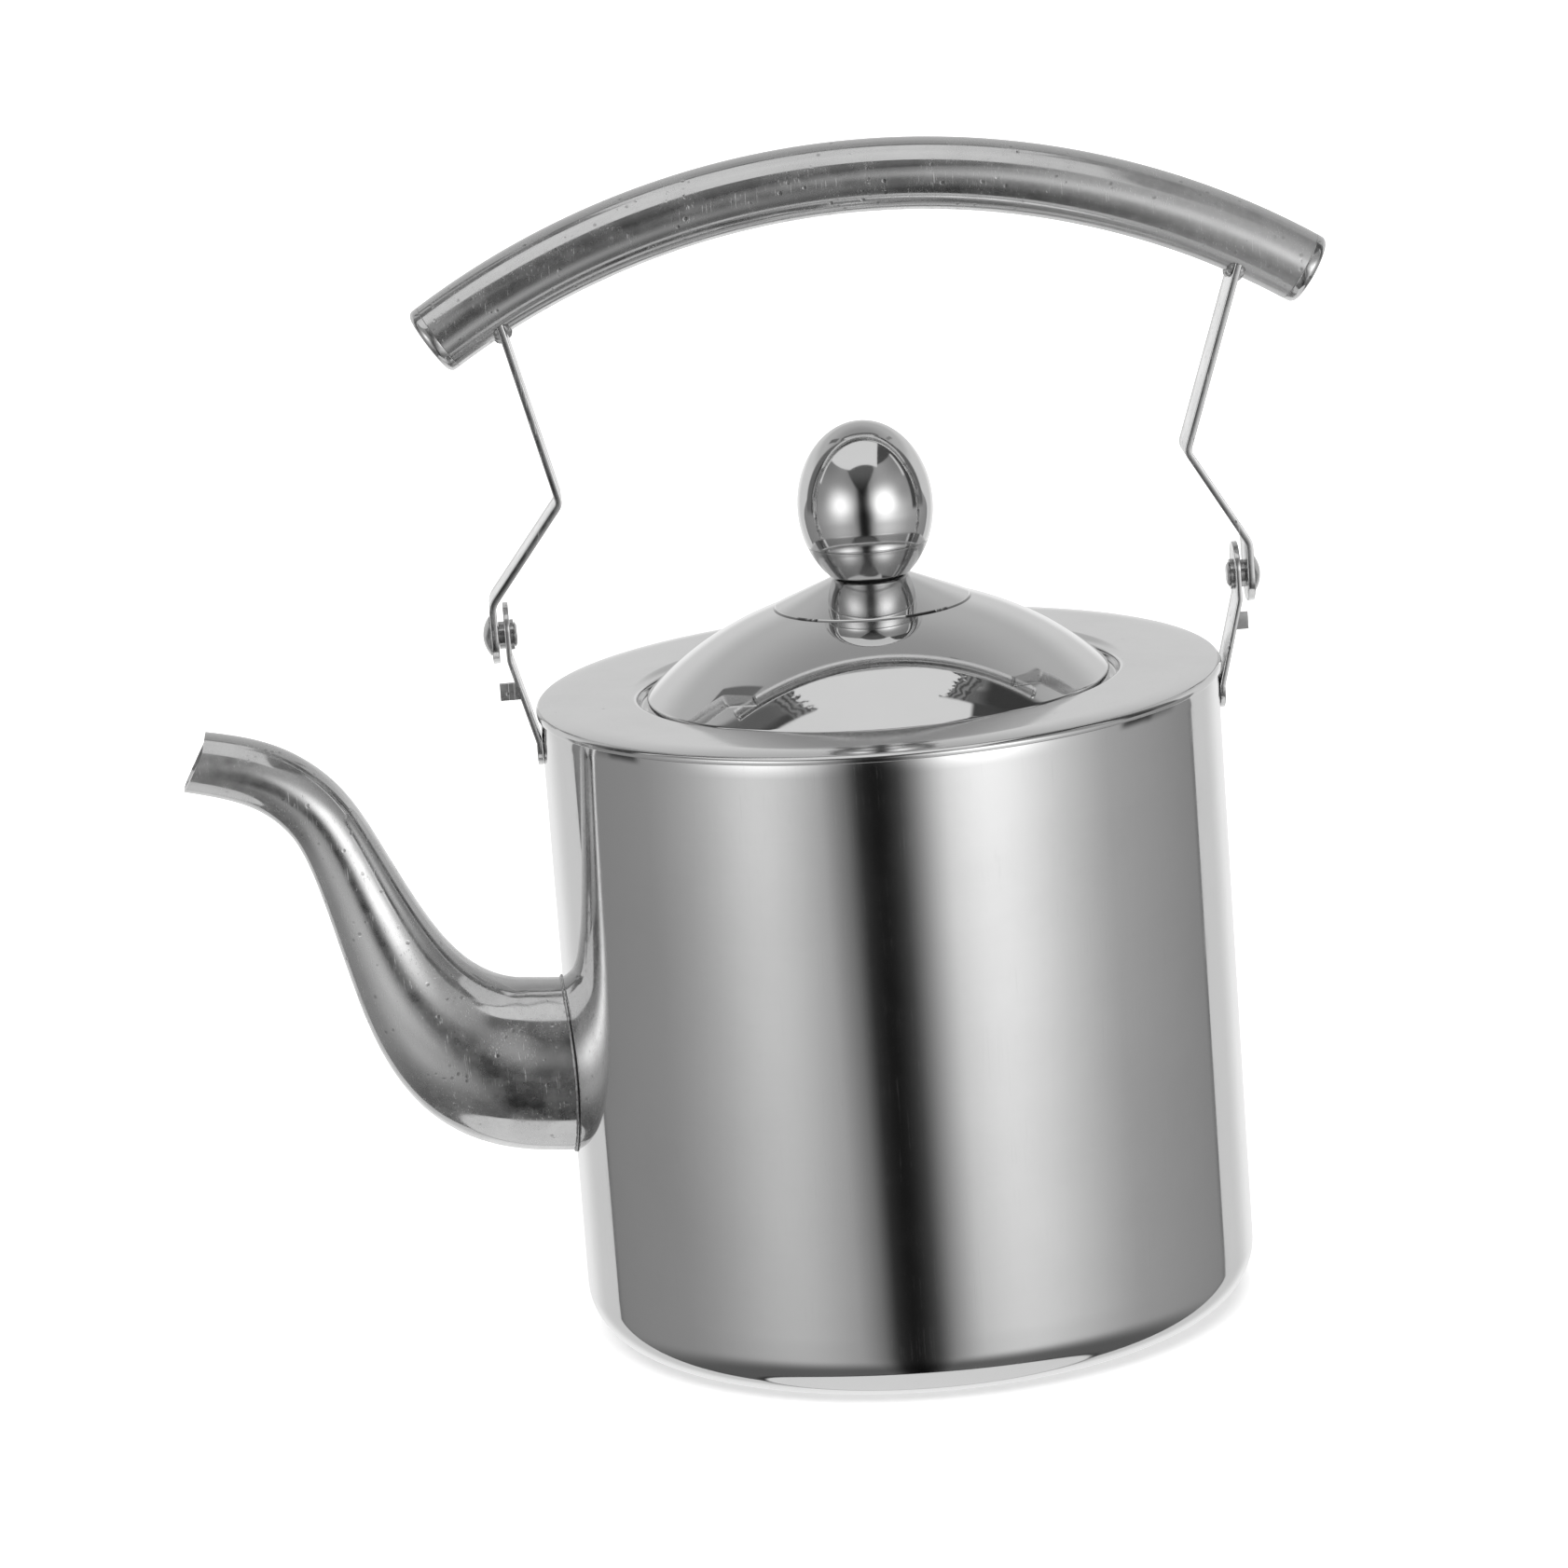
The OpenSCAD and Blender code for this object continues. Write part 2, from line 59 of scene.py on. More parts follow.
def box_mm(node):
    """Lowest and highest corner of a CAD node in millimetres."""
    lo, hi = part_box(node)
    return np.array(lo) / MM, np.array(hi) / MM


# ---- Sizes: places from the frame, small radii and sheet thicknesses named here ----

BODY_T = 0.8
SHEET_T = 0.65
BASE_EDGE_R = 10.5
BODY_R = box_mm("body_shell")[1][1]
WALL_TOP = box_mm("body_shell")[1][2]
DECK_R = box_mm("deck_ring")[1][1]
DECK_Z = box_mm("deck_ring")[1][2]
MOUTH_LOW = box_mm("deck_ring")[0][2]
DECK_BAND = 2.1
EASE_W, EASE_DROP = 6.5, 0.55  # how far in and how far down the deck's top eases off at its rim
RECESS_R = 49.2
LEDGE_DROP = 3.4
MOUTH_R = 44.2

LID_R = box_mm("lid_dome")[1][1]
RIM_Z = box_mm("lid_dome")[0][2]
SEAT_Z = box_mm("lid_dome")[1][2]
SHOULDER_Z = DECK_Z - 0.8
SEAT_R = 7.6
STEP_R = 19.7
STEP_Z = DECK_Z + 15.9
STEP_DROP = 0.5
DOME_R = 68.0
HOLE_R = 2.1

KNOB_R = box_mm("knob_shell")[1][1]
KNOB_TOP = box_mm("knob_shell")[1][2]
SEAM_Z = box_mm("knob_shell")[0][2]
KNOB_Z = box_mm("knob_cup")[0][2]
KNOB_HALF = 17.4
KNOB_MID_Z = KNOB_TOP - KNOB_HALF

SPOUT_T = 0.9
SPOUT_Z = 57.5
SPOUT_BEVEL = 3.4
PORT_H, PORT_W = 31.0, 21.0
# Stations (x, z, half height, half width) of the spout's outside, from the body to the tip
SPOUT_STATIONS = [
    (-BODY_R, SPOUT_Z, 18.2, 13.5),
    (-79.5, 58.4, 18.0, 13.5),
    (-88.6, 62.6, 17.0, 13.2),
    (-96.9, 71.4, 13.4, 11.4),
    (-103.7, 84.6, 9.9, 9.1),
    (-111.0, 105.0, 7.5, 7.4),
    (-116.6, 116.0, 7.1, 7.0),
    (-126.4, 123.9, 6.8, 6.8),
    (-139.6, 127.4, 6.4, 6.4),
]

PIVOT_Z = next(j for j in frame["joints"] if j["name"] == "bail_swing")["pos_m"][2] / MM
EAR_T = 1.1
EAR_W = 10.5
EAR_X = 74.4
EAR_TOP = 6.7
EAR_LEAN_Z = DECK_Z - 7.0  # where the ear leaves the body's wall
EAR_BEND_Z = PIVOT_Z - 4.5  # where it stands upright again
TONGUE_X = BODY_R + 0.05 + EAR_T / 2
TONGUE_DROP = 12.5
TAB = dict(reach=4.1, height=3.6, drop=9.0)
SHANK_R = 1.9
HEAD_R, HEAD_H = 4.2, 1.6
TAIL_R, TAIL_H, TAIL_EDGE = 2.5, 0.6, 0.2  # upset end of the rivet, and the height of its straight edge
WASHER_T = 0.7
SPACER_T = 1.25
RUN_GAP = 0.06

STRAP_T = 1.45
STRAP_W = 11.4
STRAP_X = EAR_X + EAR_T / 2 + SPACER_T + RUN_GAP + STRAP_T / 2
HEAD_X = STRAP_X + STRAP_T / 2 + RUN_GAP
STRAP_BEND_H = 7.1  # of the lower bend above the pivot
STRAP_TOP_X, KNEE_X, KNEE_H = 74.8, 63.6, 26.9
GRIP_SET = 4.0  # the grip sits this far towards the rear
STRAP_SET = 0.95 * GRIP_SET
KNEE_SET = 0.48 * GRIP_SET
GRIP_R, GRIP_T = 7.3, 0.8
ARCH_R = 161.3
CROWN_H = 87.5  # of the tube's middle above the pivot
ARCH_Z = PIVOT_Z + CROWN_H - ARCH_R
ARCH_HALF = math.radians(33.5)
CAP_LEN = 2.5
TUBE_HALF = ARCH_HALF - CAP_LEN / ARCH_R

BEAD, BEAD_RIPPLE = 0.45, 0.08  # the spout's weld
GAP = 0.05  # between pieces that are welded, pressed or seated


# ---- Outlines ----

def unit(v):
    return v / np.linalg.norm(v)


def left_of(v):
    return np.array([-v[1], v[0]])


def turned(v, angle):
    c, s = math.cos(angle), math.sin(angle)
    return np.array([v[0] * c - v[1] * s, v[0] * s + v[1] * c])


def bend(before, corner, after, radius, steps):
    """Points along the round bend at a corner; a radius of 0 keeps the corner."""
    u, v = unit(corner - before), unit(after - corner)
    turn = math.atan2(u[0] * v[1] - u[1] * v[0], u @ v)
    if radius == 0 or abs(turn) < 1e-6:
        return [corner]
    start = corner - u * radius * math.tan(abs(turn) / 2)
    centre = start + left_of(u) * math.copysign(radius, turn)
    return [centre + turned(start - centre, turn * i / steps) for i in range(steps + 1)]


def bent_path(corners, steps=12):
    """Open path through corners (x, z, bend radius)."""
    flat = [np.array(c[:2], float) for c in corners]
    path = [flat[0]]
    for i in range(1, len(flat) - 1):
        path += bend(flat[i - 1], flat[i], flat[i + 1], corners[i][2], steps)
    return path + [flat[-1]]


def arc(a, b, radius, steps):
    """Points on the arc from a to b that bulges to the left of the way from a to b."""
    a, b = np.array(a, float), np.array(b, float)
    chord = np.linalg.norm(b - a)
    centre = (a + b) / 2 - left_of(unit(b - a)) * math.sqrt(radius ** 2 - chord ** 2 / 4)
    sweep = -2 * math.asin(chord / (2 * radius))
    return [centre + turned(a - centre, sweep * i / steps) for i in range(steps + 1)]


def mitres(path):
    """For each point of a path, the step sideways that moves both its runs one millimetre left."""
    last = len(path) - 1
    out = []
    for i in range(last + 1):
        a = left_of(unit(path[min(i + 1, last)] - path[min(i, last - 1)]))
        b = left_of(unit(path[max(i, 1)] - path[max(i - 1, 0)]))
        m = unit(a + b)
        out.append(m / (m @ a))
    return out


def ribbon(path, low, high):
    """Closed outline of a sheet lying from low to high to the left of a path."""
    side = mitres(path)
    left = [p + m * high for p, m in zip(path, side)]
    right = [p + m * low for p, m in zip(path, side)]
    return left + right[::-1]


def eased(outline, radius=0.14, steps=3):
    """Closed outline with its sharp corners rounded, apart from those on the axis."""
    out = []
    n = len(outline)
    for i, p in enumerate(outline):
        before, after = outline[i - 1], outline[(i + 1) % n]
        u, v = p - before, after - p
        sharp = unit(u) @ unit(v) < math.cos(math.radians(40))
        room = 0.45 * min(np.linalg.norm(u), np.linalg.norm(v))
        off_axis = p[0] > 1e-6
        out += bend(before, p, after, min(radius, room), steps) if sharp and off_axis else [p]
    return out


def split_long(outline, longest):
    """Closed outline with points added, so that no run is longer than `longest`."""
    out = []
    for p, q in zip(outline, outline[1:] + outline[:1]):
        parts = max(1, math.ceil(np.linalg.norm(q - p) / longest))
        out += [p + (q - p) * i / parts for i in range(parts)]
    return out


# ---- Meshes ----

def skin(name, rings, grain, ends="joined"):
    """Object through rings (n, m, 3) in mm. ends: the last ring is joined to the first, or both are capped.

    grain (n, m, 3), in mm, is where each point would lie if the piece were straightened out. The
    materials run their brush lines along it.
    """
    rings, grain = np.array(rings, float), np.array(grain, float)
    n, m = rings.shape[:2]
    index = np.arange(n * m).reshape(n, m)
    if ends == "joined":
        index = np.vstack([index, index[:1]])
    index = np.hstack([index, index[:, :1]])
    quads = np.stack([index[:-1, :-1], index[:-1, 1:], index[1:, 1:], index[1:, :-1]], -1)
    faces = quads.reshape(-1, 4).tolist()
    if ends == "capped":
        faces += [list(range(m))[::-1], list(range((n - 1) * m, n * m))]
    mesh = bpy.data.meshes.new(name)
    mesh.from_pydata((rings.reshape(-1, 3) * MM).tolist(), [], faces)
    layer = mesh.attributes.new("grain", "FLOAT_VECTOR", "POINT")
    layer.data.foreach_set("vector", (grain.reshape(-1) * MM).astype(np.float32))
    work = bmesh.new()
    work.from_mesh(mesh)
    bmesh.ops.remove_doubles(work, verts=work.verts, dist=1e-8)
    bmesh.ops.recalc_face_normals(work, faces=work.faces)
    work.to_mesh(mesh)
    work.free()
    piece = bpy.data.objects.new(name, mesh)
    bpy.context.scene.collection.objects.link(piece)
    return piece


def lathe(name, outline, turns=288, longest=4.0):
    """Solid of revolution about Z from a closed outline of (radius, z)."""
    outline = np.array(split_long(list(outline), longest))
    angle = np.linspace(0, 2 * math.pi, turns, endpoint=False)
    radius, z = outline[:, :1], outline[:, 1:]
    rings = np.stack([radius * np.cos(angle), radius * np.sin(angle), z + 0 * angle], -1)
    steps = np.linalg.norm(np.diff(outline, axis=0), axis=1)
    along = np.concatenate([[0], np.cumsum(steps)])[:, None]
    widest = outline[:, 0].max()
    round_about = [widest * np.cos(angle) + 0 * z, widest * np.sin(angle) + 0 * z]
    return skin(name, rings, np.stack([*round_about, along + 0 * angle], -1))


def smooth(piece, sharp_angle=35):
    """Smooth shading with real edges kept crisp."""
    piece.data.shade_smooth()
    piece.data.set_sharp_from_angle(angle=math.radians(sharp_angle))


def combine(piece, tool, operation="DIFFERENCE"):
    """Cuts the tool out of the piece, or adds it, and removes the tool."""
    modifier = piece.modifiers.new("combine", "BOOLEAN")
    modifier.operation = operation
    modifier.solver = "EXACT"
    modifier.object = tool
    shaped = piece.evaluated_get(bpy.context.evaluated_depsgraph_get())
    mesh = bpy.data.meshes.new_from_object(shaped)
    piece.modifiers.clear()
    old, piece.data = piece.data, mesh
    mesh.name = piece.name
    bpy.data.meshes.remove(old)
    bpy.data.objects.remove(tool)


def put(piece, body, slot, *nodes, finish=None):
    """Finishes a piece: shading, material, the body it rides on and the CAD nodes it stands for."""
    smooth(piece)
    piece.data.materials.clear()
    piece.data.materials.append(MATERIALS[finish or slot])
    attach(piece, body)
    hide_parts(*nodes)


# ---- Materials ----

class Tree:
    """Short calls for building a node tree."""

    def __init__(self, owner):
        self.tree = owner.node_tree
        self.tree.nodes.clear()

    def add(self, kind, inputs=(), **settings):
        node = self.tree.nodes.new(kind)
        for key, value in settings.items():
            setattr(node, key, value)
        for key, value in dict(inputs).items():
            if isinstance(value, bpy.types.NodeSocket):
                self.tree.links.new(value, node.inputs[key])
            else:
                node.inputs[key].default_value = value
        return node

    def math(self, operation, *values):
        return self.add("ShaderNodeMath", enumerate(values), operation=operation).outputs[0]

    def span(self, value, low, high, to_low=0.0, to_high=1.0, kind="SMOOTHSTEP"):
        """The value, moved from the span low to high into the span to_low to to_high, and held there."""
        inputs = {"Value": value, "From Min": low, "From Max": high, "To Min": to_low, "To Max": to_high}
        return self.add("ShaderNodeMapRange", inputs, interpolation_type=kind).outputs["Result"]

    def stretched(self, vector, scale, turn=(0, 0, 0)):
        inputs = {"Vector": vector, "Scale": scale, "Rotation": turn}
        return self.add("ShaderNodeMapping", inputs).outputs["Vector"]

    def noise(self, vector, scale, detail=3.0, rough=0.5):
        inputs = {"Vector": vector, "Scale": scale, "Detail": detail, "Roughness": rough}
        return self.add("ShaderNodeTexNoise", inputs).outputs["Fac"]

    def ramp(self, value, stops, kind="LINEAR"):
        node = self.add("ShaderNodeValToRGB", {"Fac": value})
        node.color_ramp.interpolation = kind
        elements = node.color_ramp.elements
        while len(elements) > 1:
            elements.remove(elements[-1])
        elements[0].position, first = stops[0][0], stops[0][1]
        elements[0].color = (first, first, first, 1)
        for place, level in stops[1:]:
            elements.new(place).color = (level, level, level, 1)
        return node.outputs["Color"]


def mixed(t, factor, low, high):
    """low where factor is 0 and high where it is 1."""
    return t.add("ShaderNodeMix", {"Factor": factor, "A": low, "B": high}).outputs["Result"]


CLOUD_SIZE, PATCH_SIZE, WAVE_SIZE = 38.0, 140.0, 30.0  # cycles per metre
PIT_CELLS = 620.0  # cells per metre
PIT_DEPTH, SCRATCH_DEPTH = 3e-5, 4e-6
DULL_ROUGHNESS = 0.55


def scratches(t, place, patch):
    """Fine straight scratches in three directions, strongest where the patches are."""
    marks = 0.0
    for turn, length in (((0.5, 0.9, 0.4), 45), ((1.3, 0.2, 2.1), 70), ((2.2, 1.6, 0.9), 30)):
        streak = t.noise(t.stretched(place, (4200, 3600, length), turn), 1.0, 1.0)
        marks = t.math("MAXIMUM", marks, t.span(streak, 0.67, 0.75))
    return t.math("MULTIPLY", marks, t.span(patch, 0.42, 0.62))


def pitting(t, place, patch, share):
    """Small round pits in this share of the cells, gathered where the patches are."""
    cells = t.add("ShaderNodeTexVoronoi", {"Vector": place, "Scale": PIT_CELLS}, feature="F1")
    draw = t.add("ShaderNodeSeparateColor", {"Color": cells.outputs["Color"]}).outputs[0]
    chosen = t.math("LESS_THAN", draw, t.math("MULTIPLY", t.span(patch, 0.45, 0.6), share))
    return t.math("MULTIPLY", t.span(cells.outputs["Distance"], 0.12, 0.34, 1.0, 0.0), chosen)


def painted_step_shade(t, radius):
    """Painted shade along a stamped line of this radius in metres, about the piece's axis: a dark ring in
    place of the shadow at the step's foot.
    """
    place = t.add("ShaderNodeTexCoord").outputs["Object"]
    x, y, _ = t.add("ShaderNodeSeparateXYZ", {"Vector": place}).outputs
    away = t.math("SQRT", t.math("ADD", t.math("MULTIPLY", x, x), t.math("MULTIPLY", y, y)))
    return t.span(t.math("ABSOLUTE", t.math("SUBTRACT", away, radius)), 8e-5, 2.2e-4, 1.0, 0.0)


def steel(name, colour, rough, brush, haze=(0.005, 0.02), dull_end=None, streaks=0.0, wave=0.0,
          scuffs=0.2, pits=0.0, stain=0.1, step_shade=None, by="grain", seed=0.0):
    """Bare stainless steel at real scale.

    colour   grey reflectance of the clean metal
    rough    lowest and highest roughness, which the handling marks move between
    brush    (cycles per metre across, along and down the piece, depth in metres) of the brush lines
    haze     lowest and highest share of the surface that is worn dull
    dull_end (start, end, share): between these places down the piece, this share more is worn dull
    streaks  share of the clouding that is drawn out along the brush lines
    wave     depth in metres of the slow waviness left by forming
    scuffs   strength of the fine scratches
    pits     share of the surface's cells that hold a small pit
    stain    strength of the cloudy darker patches
    step_shade  radius in metres of a stamped line darkened by painted shade, about the piece's axis
    by       "grain" follows the straightened piece, "object" its own axes
    """
    material = bpy.data.materials.new(name)
    material.use_nodes = True
    t = Tree(material)
    place = t.add("ShaderNodeTexCoord").outputs["Object"]
    place = t.add("ShaderNodeVectorMath", {0: place, 1: (seed, seed * 0.7, seed * 1.3)}).outputs[0]
    follow = place
    if by == "grain":
        follow = t.add("ShaderNodeAttribute", attribute_name="grain").outputs["Vector"]
    lines = t.noise(t.stretched(follow, brush[:3]), 1.0, 2.0, 0.6)
    lines_off = t.math("SUBTRACT", lines, 0.5)
    cloud = t.noise(place, CLOUD_SIZE, 5.0, 0.6)
    if streaks:
        drawn_out = t.noise(t.stretched(follow, [scale / 5 for scale in brush[:3]]), 1.0, 4.0, 0.6)
        cloud = mixed(t, streaks, cloud, drawn_out)
    patch = t.noise(place, PATCH_SIZE, 4.0, 0.65)
    marks = scratches(t, place, patch)
    pit = pitting(t, place, patch, pits)

    # Colour: stains, brush lines and pits darken it, scratches lighten it, and a painted shade line darkens a
    # stamped step
    shade = t.math("MULTIPLY", t.span(cloud, 0.38, 0.72), stain)
    shade = t.math("ADD", shade, t.math("MULTIPLY", lines_off, 0.5 * stain))
    shade = t.math("ADD", shade, t.math("MULTIPLY", pit, 0.55))
    shade = t.math("SUBTRACT", shade, t.math("MULTIPLY", marks, 0.06 * scuffs))
    if step_shade:
        # Painted shade: a dark ring along the foot of the lid's stamped step, standing in for its shadow
        shade = t.math("MAXIMUM", shade, t.math("MULTIPLY", painted_step_shade(t, step_shade), 1.25))
    tint = mixed(t, shade, colour, colour * 0.3)

    # Roughness of the polished share
    wear = t.math("ADD", t.math("MULTIPLY", cloud, 0.6), t.math("MULTIPLY", patch, 0.4))
    wear = t.span(wear, 0.35, 0.68, rough[0], rough[1])
    wear = t.math("ADD", wear, t.math("MULTIPLY", lines_off, 0.5 * rough[0]))
    wear = t.math("ADD", wear, t.math("MULTIPLY", marks, 0.22 * scuffs))

    # Relief: brush lines and forming waves raise it, scratches and pits sink into it
    height = t.math("MULTIPLY", lines, brush[3])
    height = t.math("ADD", height, t.math("MULTIPLY", t.noise(place, WAVE_SIZE, 2.0), wave))
    height = t.math("SUBTRACT", height, t.math("MULTIPLY", marks, SCRATCH_DEPTH * scuffs))
    height = t.math("SUBTRACT", height, t.math("MULTIPLY", pit, PIT_DEPTH))
    bump = t.add("ShaderNodeBump", {"Height": height, "Strength": 1.0, "Distance": 1.0})

    polished, dull = (
        t.add("ShaderNodeBsdfPrincipled", {
            "Base Color": tone, "Metallic": 1.0, "Roughness": value, "Normal": bump.outputs[0]}).outputs[0]
        for tone, value in ((tint, wear), (mixed(t, 0.5, tint, 0.95), DULL_ROUGHNESS)))
    worn = t.math("ADD", t.math("MULTIPLY", cloud, 0.5), t.math("MULTIPLY", patch, 0.5))
    worn = t.span(worn, 0.34, 0.66, *haze)
    if dull_end:
        start, end, share = dull_end
        down = t.add("ShaderNodeSeparateXYZ", {"Vector": follow}).outputs[2]
        worn = t.math("ADD", worn, t.span(down, start, end, 0.0, share))
    worn = t.math("ADD", worn, t.math("MULTIPLY", marks, 0.4 * scuffs))
    shader = t.add("ShaderNodeMixShader", {0: worn, 1: polished, 2: dull})
    t.add("ShaderNodeOutputMaterial", {"Surface": shader.outputs[0]})
    return material


def rubber(name):
    """Thin rubber seal under the knob, near black partly as its own colour and partly as painted shade for
    the dark line at the knob's foot, with a dusty, slightly mottled face.
    """
    material = bpy.data.materials.new(name)
    material.use_nodes = True
    t = Tree(material)
    place = t.add("ShaderNodeTexCoord").outputs["Object"]
    mottle = t.noise(place, 900.0, 4.0, 0.6)
    tone = t.ramp(mottle, [(0.3, 0.018), (0.7, 0.045)])
    rough = t.span(mottle, 0.3, 0.7, 0.55, 0.8)
    bump = t.add("ShaderNodeBump", {"Height": mottle, "Strength": 0.4, "Distance": 0.0001})
    shader = t.add("ShaderNodeBsdfPrincipled", {
        "Base Color": tone, "Roughness": rough, "Normal": bump.outputs[0]})
    t.add("ShaderNodeOutputMaterial", {"Surface": shader.outputs[0]})
    return material


# Brush lines (across, along, down, depth): round spun pieces the third axis runs down the outline,
# and along tubes and strips it runs down their length
SPUN = (14, 14, 1500)
DRAWN = (1500, 1500, 16)
MATERIALS = {
    "body_steel": steel("body_steel", 0.80, (0.045, 0.085), (*SPUN, 4e-7),
                        wave=6e-6, scuffs=0.15, stain=0.04),
    "deck_steel": steel("deck_steel", 0.80, (0.07, 0.12), (*SPUN, 5e-7),
                        wave=8e-6, scuffs=0.35, pits=0.01, stain=0.05, seed=1.0),
    # The lid's stamped step carries a painted shade line
    "lid_steel": steel("lid_steel", 0.80, (0.025, 0.05), (*SPUN, 2e-7),
                       wave=5e-6, scuffs=0.1, stain=0.03, step_shade=(STEP_R + 0.3) * MM, seed=2.0),
    "knob_steel": steel("knob_steel", 0.80, (0.05, 0.09), (*SPUN, 8e-7),
                        wave=2e-6, scuffs=0.15, stain=0.05, seed=3.0),
    "cup_steel": steel("cup_steel", 0.60, (0.10, 0.16), (*SPUN, 2e-6), haze=(0.1, 0.2),
                       wave=2e-6, scuffs=0.2, stain=0.12, seed=3.5),
    "spout_steel": steel("spout_steel", 0.74, (0.06, 0.16), (*DRAWN, 1e-6), haze=(0.04, 0.42),
                         dull_end=(0.07, 0.11, 0.25), streaks=0.3,
                         wave=2.4e-5, scuffs=1.2, pits=0.34, stain=0.14, seed=4.0),
    "grip_steel": steel("grip_steel", 0.76, (0.07, 0.16), (*DRAWN, 2e-6), haze=(0.08, 0.34),
                        dull_end=(0.01, 0.08, 0.5), streaks=0.75,
                        wave=8e-6, scuffs=1.0, pits=0.36, stain=0.16, seed=5.0),
    "strip_steel": steel("strip_steel", 0.85, (0.10, 0.22), (*DRAWN, 2e-6), haze=(0.04, 0.30), streaks=0.5,
                         wave=4e-6, scuffs=1.0, pits=0.45, stain=0.12, seed=6.0),
    "rivet_steel": steel("rivet_steel", 0.60, (0.14, 0.26), (900, 900, 900, 2e-6), haze=(0.1, 0.3),
                         scuffs=0.8, pits=0.12, stain=0.30, by="object", seed=7.0),
    "weld": steel("weld", 0.52, (0.14, 0.34), (700, 700, 700, 2e-5), haze=(0.1, 0.4),
                  scuffs=0.3, pits=0.25, stain=0.5, by="object", seed=8.0),
    "fastener_steel": steel("fastener_steel", 0.58, (0.14, 0.26), (600, 600, 600, 2e-6), haze=(0.1, 0.3),
                            scuffs=0.6, pits=0.05, stain=0.25, by="object", seed=9.0),
    # Near-black seal: its rubber colour, and painted shade for the dark line under the knob
    "gasket": rubber("gasket"),
}


# ---- Body, deck and lid ----

def body():
    """Drawn body with the spout's port cut through its wall."""
    half = BODY_T / 2
    wall = bent_path([(0, half, 0), (BODY_R - half, half, BASE_EDGE_R - half),
                      (BODY_R - half, WALL_TOP, 0)], steps=24)
    piece = lathe("kettle_body", eased(ribbon(wall, -half, half)), turns=320)
    port = slot_prism("port", PORT_W / 2, PORT_H / 2, -BODY_R - 5, -BODY_R + 10)
    combine(piece, port)
    put(piece, "kettle", "body_steel", "body_shell")


def slot_prism(name, half_w, half_h, x0, x1):
    """Round-ended slot across Y and Z at the spout's height, pushed through X from x0 to x1."""
    angle = np.linspace(0, 2 * math.pi, 96, endpoint=False)
    y = half_w * np.cos(angle)
    z = SPOUT_Z + half_w * np.sin(angle) + np.sign(np.sin(angle)) * (half_h - half_w)
    rings = [np.stack([x + 0 * y, y, z], -1) for x in (x0, x1)]
    return skin(name, rings, rings, ends="capped")


def deck():
    """Deck ring: band over the body's edge, flat top eased off towards its rim, recess, ledge, collar."""
    half = SHEET_T / 2
    ledge = DECK_Z - LEDGE_DROP - half
    rim_r, top = DECK_R - half, DECK_Z - half
    eased_off = [(rim_r - EASE_W * u, top - EASE_DROP * (1 - u) ** 2, 0) for u in np.linspace(0.2, 1, 13)]
    path = bent_path(
        [(rim_r, DECK_Z - DECK_BAND, 0), (rim_r, top - EASE_DROP, 0.7)] + eased_off
        + [(RECESS_R, top, 1.6), (RECESS_R, ledge, 1.0), (MOUTH_R, ledge, 1.0), (MOUTH_R, MOUTH_LOW, 0)])
    put(lathe("deck", eased(ribbon(path, -half, half)), turns=320), "kettle", "deck_steel", "deck_ring")


def lid():
    """Lid skin: seat, cone, stamped step, dome, shoulder and a straight skirt down to its rim."""
    dome = arc((STEP_R + 0.4, STEP_Z - STEP_DROP), (LID_R, SHOULDER_Z), DOME_R, 40)
    path = bent_path(
        [(HOLE_R, SEAT_Z, 0), (SEAT_R, SEAT_Z, 2.0), (STEP_R, STEP_Z, 0.12), (*dome[0], 0.12)]
        + [(*p, 0) for p in dome[1:-1]]
        + [(*dome[-1], 0.9), (LID_R, RIM_Z, 0)])
    put(lathe("lid", eased(ribbon(path, -SHEET_T, 0)), turns=320), "lid", "lid_steel", "lid_dome")


def egg(low, high, inset, steps):
    """Points of the knob's egg from height low to high, `inset` inside its outside."""
    half, r = KNOB_HALF - inset, KNOB_R - inset
    start = math.asin((low - KNOB_MID_Z) / half)
    end = math.asin(min(1.0, (high - KNOB_MID_Z) / half))
    angles = np.linspace(start, end, steps + 1)
    return [np.array([abs(r * math.cos(a)) if a < 1.5707 else 0.0, KNOB_MID_Z + half * math.sin(a)])
            for a in angles]


def knob():
    """Egg-shaped knob of two pressed halves, the upper one over the lower one's lip."""
    outside = egg(SEAM_Z, KNOB_TOP, 0, 56)
    inside = egg(SEAM_Z, KNOB_TOP - SHEET_T, SHEET_T, 56)
    shell = lathe("knob_upper", eased(outside + inside[::-1], 0.1), turns=192, longest=1.5)
    put(shell, "lid", "knob_steel", "knob_shell")
    shadow, lip = 0.06, SHEET_T + GAP
    lip_top = SEAM_Z + 2
    outline = [np.array([HOLE_R, KNOB_Z])]
    outline += egg(KNOB_Z, SEAM_Z - shadow, shadow, 24)
    outline += egg(SEAM_Z - shadow, lip_top, lip, 8)
    outline += egg(KNOB_Z + SHEET_T, lip_top, lip + SHEET_T, 24)[::-1]
    outline += [np.array([HOLE_R, KNOB_Z + SHEET_T])]
    cup = lathe("knob_lower", eased(outline, 0.1), turns=192, longest=1.5)
    put(cup, "lid", "knob_steel", "knob_cup", finish="cup_steel")


# ---- Spout ----

